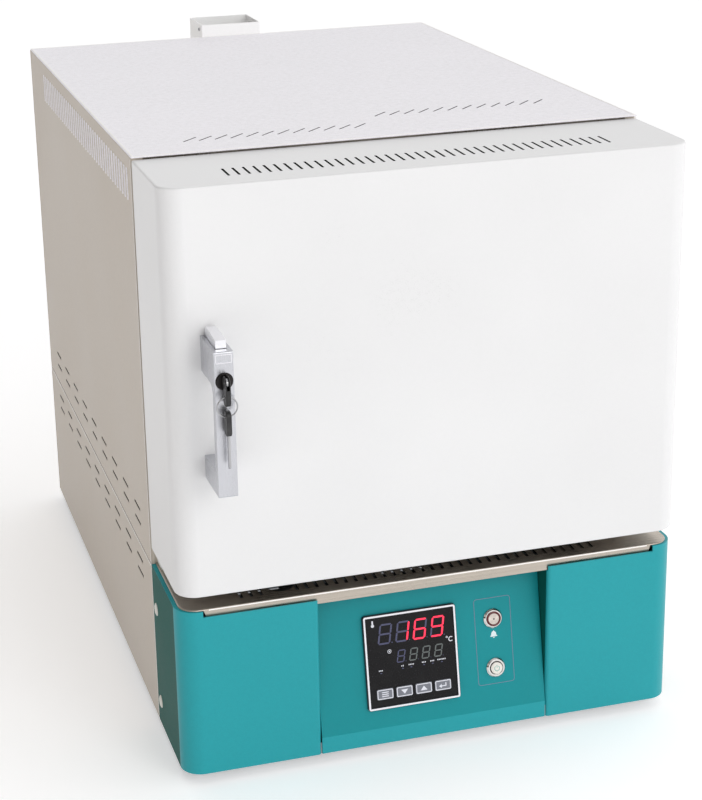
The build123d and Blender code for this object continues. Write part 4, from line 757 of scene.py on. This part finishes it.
class FURNACE_OT_keys(bpy.types.Operator):
    """Prints the borders and pictograms on the four keys"""

    bl_idname = "furnace.keys"
    bl_label = "Key legends"

    def execute(self, context):
        home = panel_place()
        bars = [shifted(rounded(7.0, 0.9, 0.3, 2), 0, y) for y in (-2.0, 0.0, 2.0)]
        down = [[(-3.6, 2.0), (0, -2.4), (3.6, 2.0)]]
        up = [[(-3.6, -2.0), (3.6, -2.0), (0, 2.4)]]
        enter = [[(-4.4, -0.8), (-1.6, -2.9), (-1.6, -1.3), (3.4, -1.3), (3.4, 2.4), (2.4, 2.4), (2.4, -0.3),
                  (-1.6, -0.3), (-1.6, 1.3)]]
        for number, signs in enumerate((bars, down, up, enter), start=1):
            low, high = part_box(f"controller_key_{number}")
            place = home @ Matrix.Translation((((low + high) / 2 - home.translation).x, KEY_ROW * MM, 0))
            bm = bmesh.new()
            ring_plate(bm, mm(rounded(*KEY_SIZE)), 0.85 * MM, place, PRINT, KEY_LIFT)
            for outline in signs:
                plate(bm, mm(outline), place, PRINT, KEY_LIFT)
            keep(f"key_print_{number}", bm, "key_print", f"key_{number}", "white_plastic")
        return {"FINISHED"}


# ---------------------------------------------------------------- switches
BELL = ((-3.6, -2.2), (3.6, -2.2), (3.6, -1.5), (2.7, -0.6), (2.4, 1.6), (1.5, 2.9), (0.5, 3.3), (0.4, 4.0),
        (-0.4, 4.0), (-0.5, 3.3), (-1.5, 2.9), (-2.4, 1.6), (-2.7, -0.6), (-3.6, -1.5))
BELL_DROP = 16.5  # bell below the alarm button
OUTLINE_RISE = 2.4  # outline's middle above the middle between the switches


class FURNACE_OT_switches(bpy.types.Operator):
    """Builds the switch lamps, their symbols, the outline round them and the plain badge frame on the handle"""

    bl_idname = "furnace.switches"
    bl_label = "Switch trim and badge"

    def execute(self, context):
        home = panel_place()
        spots, faces = {}, {}
        for name in ("alarm_button", "power_button"):
            low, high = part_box(name)
            spot = home.inverted() @ ((low + high) / 2)
            spots[name] = home @ Matrix.Translation((spot.x, spot.y, 0))
            faces[name] = spans(name, spots[name])[1] / MM

        def turned(piece, button, profile, steps, material, body, slot):
            bm = bmesh.new()
            lathe(bm, mm(profile), spots[button], steps)
            keep(piece, bm, material, body, slot)

        r, top = faces["alarm_button"].x, faces["alarm_button"].z
        turned("alarm_lamp_ring", "alarm_button",
               [(r - 0.2, top - 1.0), (r + 1.5, top - 1.0), (r + 1.5, top + 0.35), (r + 0.7, top + 0.6),
                (r - 0.2, top + 0.3), (r - 0.2, top - 1.0)], 48, "red_lens", "cabinet", "chrome")
        turned("alarm_spun_face", "alarm_button",
               [(0, top - 0.2), (r - 0.5, top - 0.2), (r - 0.5, top + 0.12), (0.9, top + 0.45), (0, top + 0.45)], 48,
               "spun_steel", "alarm_push", "chrome")
        turned("alarm_centre_dot", "alarm_button", [(0, top), (0.8, top), (0.8, top + 0.6), (0, top + 0.6)], 20,
               "black_plastic", "alarm_push", "black_plastic")
        r, top = faces["power_button"].x, faces["power_button"].z
        turned("power_lens", "power_button",
               [(0, top - 0.2), (r - 0.1, top - 0.2), (r - 0.1, top + 0.1), (r - 1.2, top + 0.7),
                (r - 3.0, top + 0.95), (0, top + 1.0)], 40, "pale_lens", "power_push", "chrome")
        bm = bmesh.new()
        lift = (top + 0.97) * MM
        plate(bm, mm(band(2.3, 2.9, 125, 415, 36)), spots["power_button"], 0.1 * MM, lift)
        plate(bm, mm(shifted(oblong(0.6, 2.8), 0, 2.0)), spots["power_button"], 0.12 * MM, lift)
        keep("power_symbol", bm, "green_lens", "power_push", "chrome")
        bm = bmesh.new()
        middle = home.inverted() @ ((spots["alarm_button"].translation + spots["power_button"].translation) / 2)
        ring_plate(bm, mm(rounded(38.5, 88.5, 3.0)), 0.55 * MM,
                   home @ Matrix.Translation((middle.x, middle.y + OUTLINE_RISE * MM, 0)), 0.06 * MM)
        keep("switch_outline", bm, "outline_print", "cabinet", "teal_dark")
        low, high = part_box("handle_body")
        badge = axes(((low.x + high.x) / 2, low.y, high.z - 6.5 * MM), (0, -1, 0), (0, 0, 1))
        bm = bmesh.new()
        ring_plate(bm, rounded(high.x - low.x - 3.0 * MM, 8.0 * MM, 0.5 * MM, 2), 0.5 * MM, badge, 0.15 * MM)
        keep("handle_badge_rim", bm, "badge_white_and_bezel_highlight", BODY_OF["handle_body"], "satin_silver")
        bm = bmesh.new()
        at = spots["alarm_button"] @ Matrix.Translation((0, -BELL_DROP * MM, 0))
        plate(bm, mm(BELL), at, 0.08 * MM)
        plate(bm, mm(shifted(arc(1.0, 180, 360, 10), 0, -2.6)), at, 0.08 * MM)
        keep("bell_symbol", bm, "panel_print", "cabinet", "white_plastic")
        return {"FINISHED"}


# ---------------------------------------------------------------- sheet-metal details
LOUVRE_RISES = (40, 24, -17.5, -33.5)  # louvre rows above the seam between the side panels
LOUVRE_COUNT, LOUVRE_PITCH, LOUVRE_LONG, LOUVRE_SHIFT = 9, 62.5, 29, -8
LIP = ((-0.4, -1.0), (0.25, -1.05), (0.5, -1.35), (0.3, -1.8), (-0.4, -2.2))  # section of a lip, outward and up
FINE_COUNT, FINE_PITCH, FINE_SHIFT, FINE_DROP = 41, 12.8, -43, 30  # upright slots of the side panels
EDGE_HIGHLIGHT_WIDTH = 1.2  # width of the painted highlights along folded edges


class FURNACE_OT_vents(bpy.types.Operator):
    """Builds the pressed lips of the side louvres, the raised rims of the fine slots in a lighter grey that is painted
    highlight, and painted highlights along the sides' seam and front edge
    """

    bl_idname = "furnace.vents"
    bl_label = "Vent and side edges"

    def execute(self, context):
        low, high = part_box("upper_side_left")
        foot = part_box("lower_side_left")[0].z
        seam, top, rear = low.z - 0.4 * MM, high.z + 1.5 * MM, high.y + 1.8 * MM
        middle = (low.y + rear) / 2
        for side, name in ((-1, "left"), (1, "right")):
            x = side * abs(low.x)
            lips, rims, edges = (bmesh.new() for _ in range(3))
            for rise in LOUVRE_RISES:
                for i in range(LOUVRE_COUNT):
                    y = middle + (LOUVRE_SHIFT + (i - LOUVRE_COUNT // 2) * LOUVRE_PITCH - LOUVRE_LONG / 2) * MM
                    place = axes((x, y, seam + rise * MM), (0, 1, 0), (0, 0, 1))
                    plate(lips, mm([(-side * out, up) for out, up in LIP]), place, LOUVRE_LONG * MM)
            for i in range(FINE_COUNT):
                y = middle + (FINE_SHIFT + (i - FINE_COUNT // 2) * FINE_PITCH) * MM
                place = axes((x, y, top - FINE_DROP * MM), (side, 0, 0), (0, 0, 1))
                ring_plate(rims, mm(rounded(5.2, 31.2, 1.4, 2)), 1.6 * MM, place, 0.55 * MM)
            # pale strips along the seam and the front edge: painted highlights on the folds
            for y, z, bar in ((middle, seam - 0.9 * MM, oblong(rear - low.y - 3 * MM, 1.3 * MM)),
                              (low.y + EDGE_HIGHLIGHT_WIDTH * MM, (foot + top) / 2, oblong(1.1 * MM, top - foot - 6 * MM))):
                plate(edges, bar, axes((x, y, z), (side, 0, 0), (0, 0, 1)), 0.25 * MM)
            keep(f"seam_painted_highlights_{name}", edges, "edge_painted_highlight", "cabinet", "beige")
            keep(f"louvre_lips_{name}", lips, "beige", "cabinet", "beige")
            # the rims are real relief; their lighter grey on the beige sides is painted highlight
            keep(f"slot_rims_{name}", rims, "light_grey", "cabinet", "light_grey")
        return {"FINISHED"}


class FURNACE_OT_painted_highlights(bpy.types.Operator):
    """Adds painted highlights along the tray's lip and the top cover's edges"""

    bl_idname = "furnace.trims"
    bl_label = "Bright edges"

    def execute(self, context):
        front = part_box("drip_tray")[0].y
        row = [v.co for v in frame["nodes"]["drip_tray"].data.vertices if v.co.y < front + 4 * MM]
        crest = max(c.z for c in row)
        lip = [c.x for c in row if c.z < crest - 4 * MM]
        bm = bmesh.new()
        # pale strip along the tray's folded lip: painted highlight
        plate(bm, oblong(max(lip) - min(lip) - 2 * MM, EDGE_HIGHLIGHT_WIDTH * MM),
              axes(((min(lip) + max(lip)) / 2, front, crest - 1.0 * MM), (0, -1, 0), (0, 0, 1)), 0.15 * MM)
        keep("tray_lip_painted_highlight", bm, "edge_painted_highlight", "cabinet", "stainless")
        low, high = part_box("top_cover")
        bm = bmesh.new()
        # pale ring along the top cover's edges: painted highlight
        ring_plate(bm, oblong(high.x - low.x - 2.8 * MM, high.y - low.y - 2.8 * MM), EDGE_HIGHLIGHT_WIDTH * MM,
                   axes(((low.x + high.x) / 2, (low.y + high.y) / 2, high.z), (0, 0, 1), (0, 1, 0)), 0.2 * MM)
        keep("hood_painted_highlights", bm, "edge_painted_highlight", "cabinet", "light_grey")
        return {"FINISHED"}


LEAF_BACK = 4.3  # hinge leaf's face from the pin's axis
HINGE_RISES = (28, -27)  # hinge middles from the lowest and highest pin ends
REAR_EDGE = 9  # rear screws from the panel's side edges


class FURNACE_OT_fasteners(bpy.types.Operator):
    """Puts screws on the hinges, rear panels, exhaust duct and inner door plate"""

    bl_idname = "furnace.fasteners"
    bl_label = "Fasteners"

    def execute(self, context):
        moving, fixed, small = (bmesh.new() for _ in range(3))

        def drive(bm, spots, along, radius):
            for spot in spots:
                screw(bm, axes(spot, along, (0, 0, 1)), radius * MM)

        low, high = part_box("hinge_pins")
        axis = (low + high) / 2
        for z in (low.z + HINGE_RISES[0] * MM, high.z + HINGE_RISES[1] * MM):
            for rise, out in ((-20, 24), (0, 32), (20, 24)):
                for side, bm in ((-1, moving), (1, fixed)):
                    spot = (axis.x - LEAF_BACK * MM, axis.y + side * out * MM, z + rise * MM)
                    drive(bm, [spot], (1, 0, 0), 3.4)
        for panel, rises in (("upper_rear_panel", (12, 140)), ("lower_rear_panel", (12,))):
            low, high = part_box(panel)
            columns = (low.x + REAR_EDGE * MM, high.x - REAR_EDGE * MM)
            rows = [z for rise in rises for z in (low.z + rise * MM, high.z - rise * MM)]
            drive(fixed, [(x, high.y, z) for z in rows for x in columns], (0, 1, 0), 3.6)
        low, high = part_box("chimney")
        drive(small, [(x, low.y + 1.0 * MM, z) for z in (low.z + 15 * MM, (low.z + high.z) / 2, high.z - 40 * MM)
                      for x in (low.x + 5.5 * MM, high.x - 5.5 * MM)], (0, 1, 0), 2.4)
        for side, x in ((-1, low.x + 12 * MM), (1, high.x - 12 * MM)):
            drive(small, [(x, low.y + 14 * MM, high.z - 7 * MM)], (side, 0, 0), 2.4)
        low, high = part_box("door_liner")
        rim = (low.z + 10 * MM, high.z - 10 * MM)
        spots = [(x, z) for z in (*rim, (low.z + high.z) / 2) for x in (low.x + 12 * MM, high.x - 12 * MM)]
        spots += [(low.x + part * (high.x - low.x), z) for part in (0.35, 0.65) for z in rim]
        drive(moving, [(x, high.y, z) for x, z in spots], (0, 1, 0), 3.0)
        keep("door_screws", moving, "steel", "door", "steel")
        keep("cabinet_screws", fixed, "steel", "cabinet", "steel")
        keep("duct_screws", small, "steel", "cabinet", "steel")
        return {"FINISHED"}


GASKET_TWISTS = 44
GASKET_SIDES = 16


class FURNACE_OT_gasket(bpy.types.Operator):
    """Builds the twisted rope gasket round the door plug"""

    bl_idname = "furnace.gasket"
    bl_label = "Rope gasket"

    def execute(self, context):
        low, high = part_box("door_gasket")
        radius = (high.y - low.y) / 2
        middle = (low + high) / 2
        wide, tall = high.x - low.x - 2 * radius, high.z - low.z - 2 * radius
        path = rounded(wide, tall, 14 * MM, 8)
        stations = []
        for a, b in zip(path, path[1:] + path[:1]):
            length = math.dist(a, b)
            parts = max(1, round(length / (2.6 * MM)))
            stations += [(a[0] + (b[0] - a[0]) * i / parts, a[1] + (b[1] - a[1]) * i / parts) for i in range(parts)]
        bm = bmesh.new()
        rings = []
        count = len(stations)
        for i, (x, z) in enumerate(stations):
            before, after = stations[i - 1], stations[(i + 1) % count]
            tangent = Vector((after[0] - before[0], 0, after[1] - before[1]))
            place = axes(middle + Vector((x, 0, z)), tangent, (0, 1, 0))
            made = bmesh.ops.create_circle(bm, segments=GASKET_SIDES, radius=radius, matrix=place)["verts"]
            for k, vert in enumerate(made):
                angle = 2 * math.pi * (k / GASKET_SIDES - GASKET_TWISTS * i / count)
                squeeze = 1 - 0.11 * (1 + math.cos(3 * angle)) / 2
                vert.co = place.translation + (vert.co - place.translation) * squeeze
            rings.append([e for v in made for e in v.link_edges if e.other_vert(v) in made])
        for here, there in zip(rings, rings[1:] + rings[:1]):
            bmesh.ops.bridge_loops(bm, edges=list(set(here) | set(there)))
        piece = keep("gasket_rope", bm, "ceramic_wool", "door", "ceramic_wool", 80.0)
        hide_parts("door_gasket")
        return {"FINISHED"}


# ---------------------------------------------------------------- stage
def lamp(name, spot, target, size, power, colour):
    data = bpy.data.lights.new(name, "AREA")
    data.shape, data.size, data.energy, data.color = "DISK", size, power, colour
    light = bpy.data.objects.new(name, data)
    light.location = spot
    light.rotation_euler = (Vector(target) - Vector(spot)).to_track_quat("-Z", "Y").to_euler()
    bpy.context.scene.collection.objects.link(light)


class FURNACE_OT_stage(bpy.types.Operator):
    """Sets up the floor, soft lamps, room light and camera"""

    bl_idname = "furnace.stage"
    bl_label = "Stage"

    def execute(self, context):
        stage = context.scene.furnace_stage
        bm = bmesh.new()
        bmesh.ops.create_circle(bm, cap_ends=True, segments=96, radius=30.0)
        mesh = bpy.data.meshes.new("floor")
        bm.to_mesh(mesh)
        bm.free()
        material = bpy.data.materials.new("floor_paint")
        material.use_nodes = True
        shader = material.node_tree.nodes["Principled BSDF"]
        shader.inputs["Base Color"].default_value = (*stage.floor, 1.0)
        shader.inputs["Roughness"].default_value = 0.8
        shader.inputs["Emission Color"].default_value = (1.0, 1.0, 1.0, 1.0)
        shader.inputs["Emission Strength"].default_value = stage.lift
        mesh.materials.append(material)
        floor = bpy.data.objects.new("floor", mesh)
        context.scene.collection.objects.link(floor)
        world = bpy.data.worlds.new("room")
        world.use_nodes = True
        room = world.node_tree
        side = add(room, "ShaderNodeSeparateXYZ", Vector=add(room, "ShaderNodeTexCoord").outputs["Generated"])
        shade = remap(room, side.outputs[0], -0.85, -0.1)
        glow = room.nodes["Background"].inputs
        feed(room, glow["Color"], blend_colour(room, shade, (*stage.shade, 1.0), (1.0, 1.0, 1.0, 1.0)))
        overhead = remap(room, side.outputs[2], 0.3, 1.0, 1.0, 0.7)
        feed(room, glow["Strength"], calc(room, "MULTIPLY", overhead, stage.sky))
        context.scene.world = world
        lamp("key", (0.9, -3.2, 1.9), (0, 0, 0.3), 1.8, stage.key, (1.0, 0.985, 0.96))
        lamp("fill", (-2.6, -0.9, 1.2), (0, 0, 0.3), 1.4, stage.fill, (1.0, 0.95, 0.88))
        data = bpy.data.cameras.new("camera")
        data.lens, data.sensor_width, data.clip_end = stage.lens, 36.0, 100.0
        data.shift_x, data.shift_y = 0.05, -0.06875
        camera = bpy.data.objects.new("camera", data)
        camera.location, camera.rotation_euler = stage.eye, stage.turn
        context.scene.collection.objects.link(camera)
        context.scene.camera = camera
        context.scene.view_settings.view_transform = "Standard"
        return {"FINISHED"}


STEPS = (FURNACE_OT_finishes, FURNACE_OT_panels, FURNACE_OT_display, FURNACE_OT_keys, FURNACE_OT_switches,
         FURNACE_OT_vents, FURNACE_OT_painted_highlights, FURNACE_OT_fasteners, FURNACE_OT_gasket, FURNACE_OT_stage)


class FURNACE_PT_sidebar(bpy.types.Panel):
    """Lists the furnace's steps and settings"""

    bl_label = "Furnace"
    bl_idname = "FURNACE_PT_sidebar"
    bl_space_type = "VIEW_3D"
    bl_region_type = "UI"
    bl_category = "Furnace"

    def draw(self, context):
        scene = context.scene
        for settings in (scene.furnace_paint, scene.furnace_metal, scene.furnace_display, scene.furnace_stage):
            box = self.layout.box()
            for name in settings.__annotations__:
                box.prop(settings, name)
        for step in STEPS:
            self.layout.operator(step.bl_idname)


SETTINGS = (("furnace_paint", PaintSettings), ("furnace_metal", MetalSettings),
            ("furnace_display", DisplaySettings), ("furnace_stage", StageSettings))


CLASSES = [kind for _, kind in SETTINGS] + [*STEPS, FURNACE_PT_sidebar]


def register():
    for cls in CLASSES:
        bpy.utils.register_class(cls)
    for name, kind in SETTINGS:
        setattr(bpy.types.Scene, name, bpy.props.PointerProperty(type=kind))


def unregister():
    for name, _ in SETTINGS:
        delattr(bpy.types.Scene, name)
    for cls in reversed(CLASSES):
        bpy.utils.unregister_class(cls)


def main():
    register()
    for step in STEPS:
        getattr(bpy.ops.furnace, step.bl_idname.split(".")[1])()


if __name__ == "__main__":
    main()
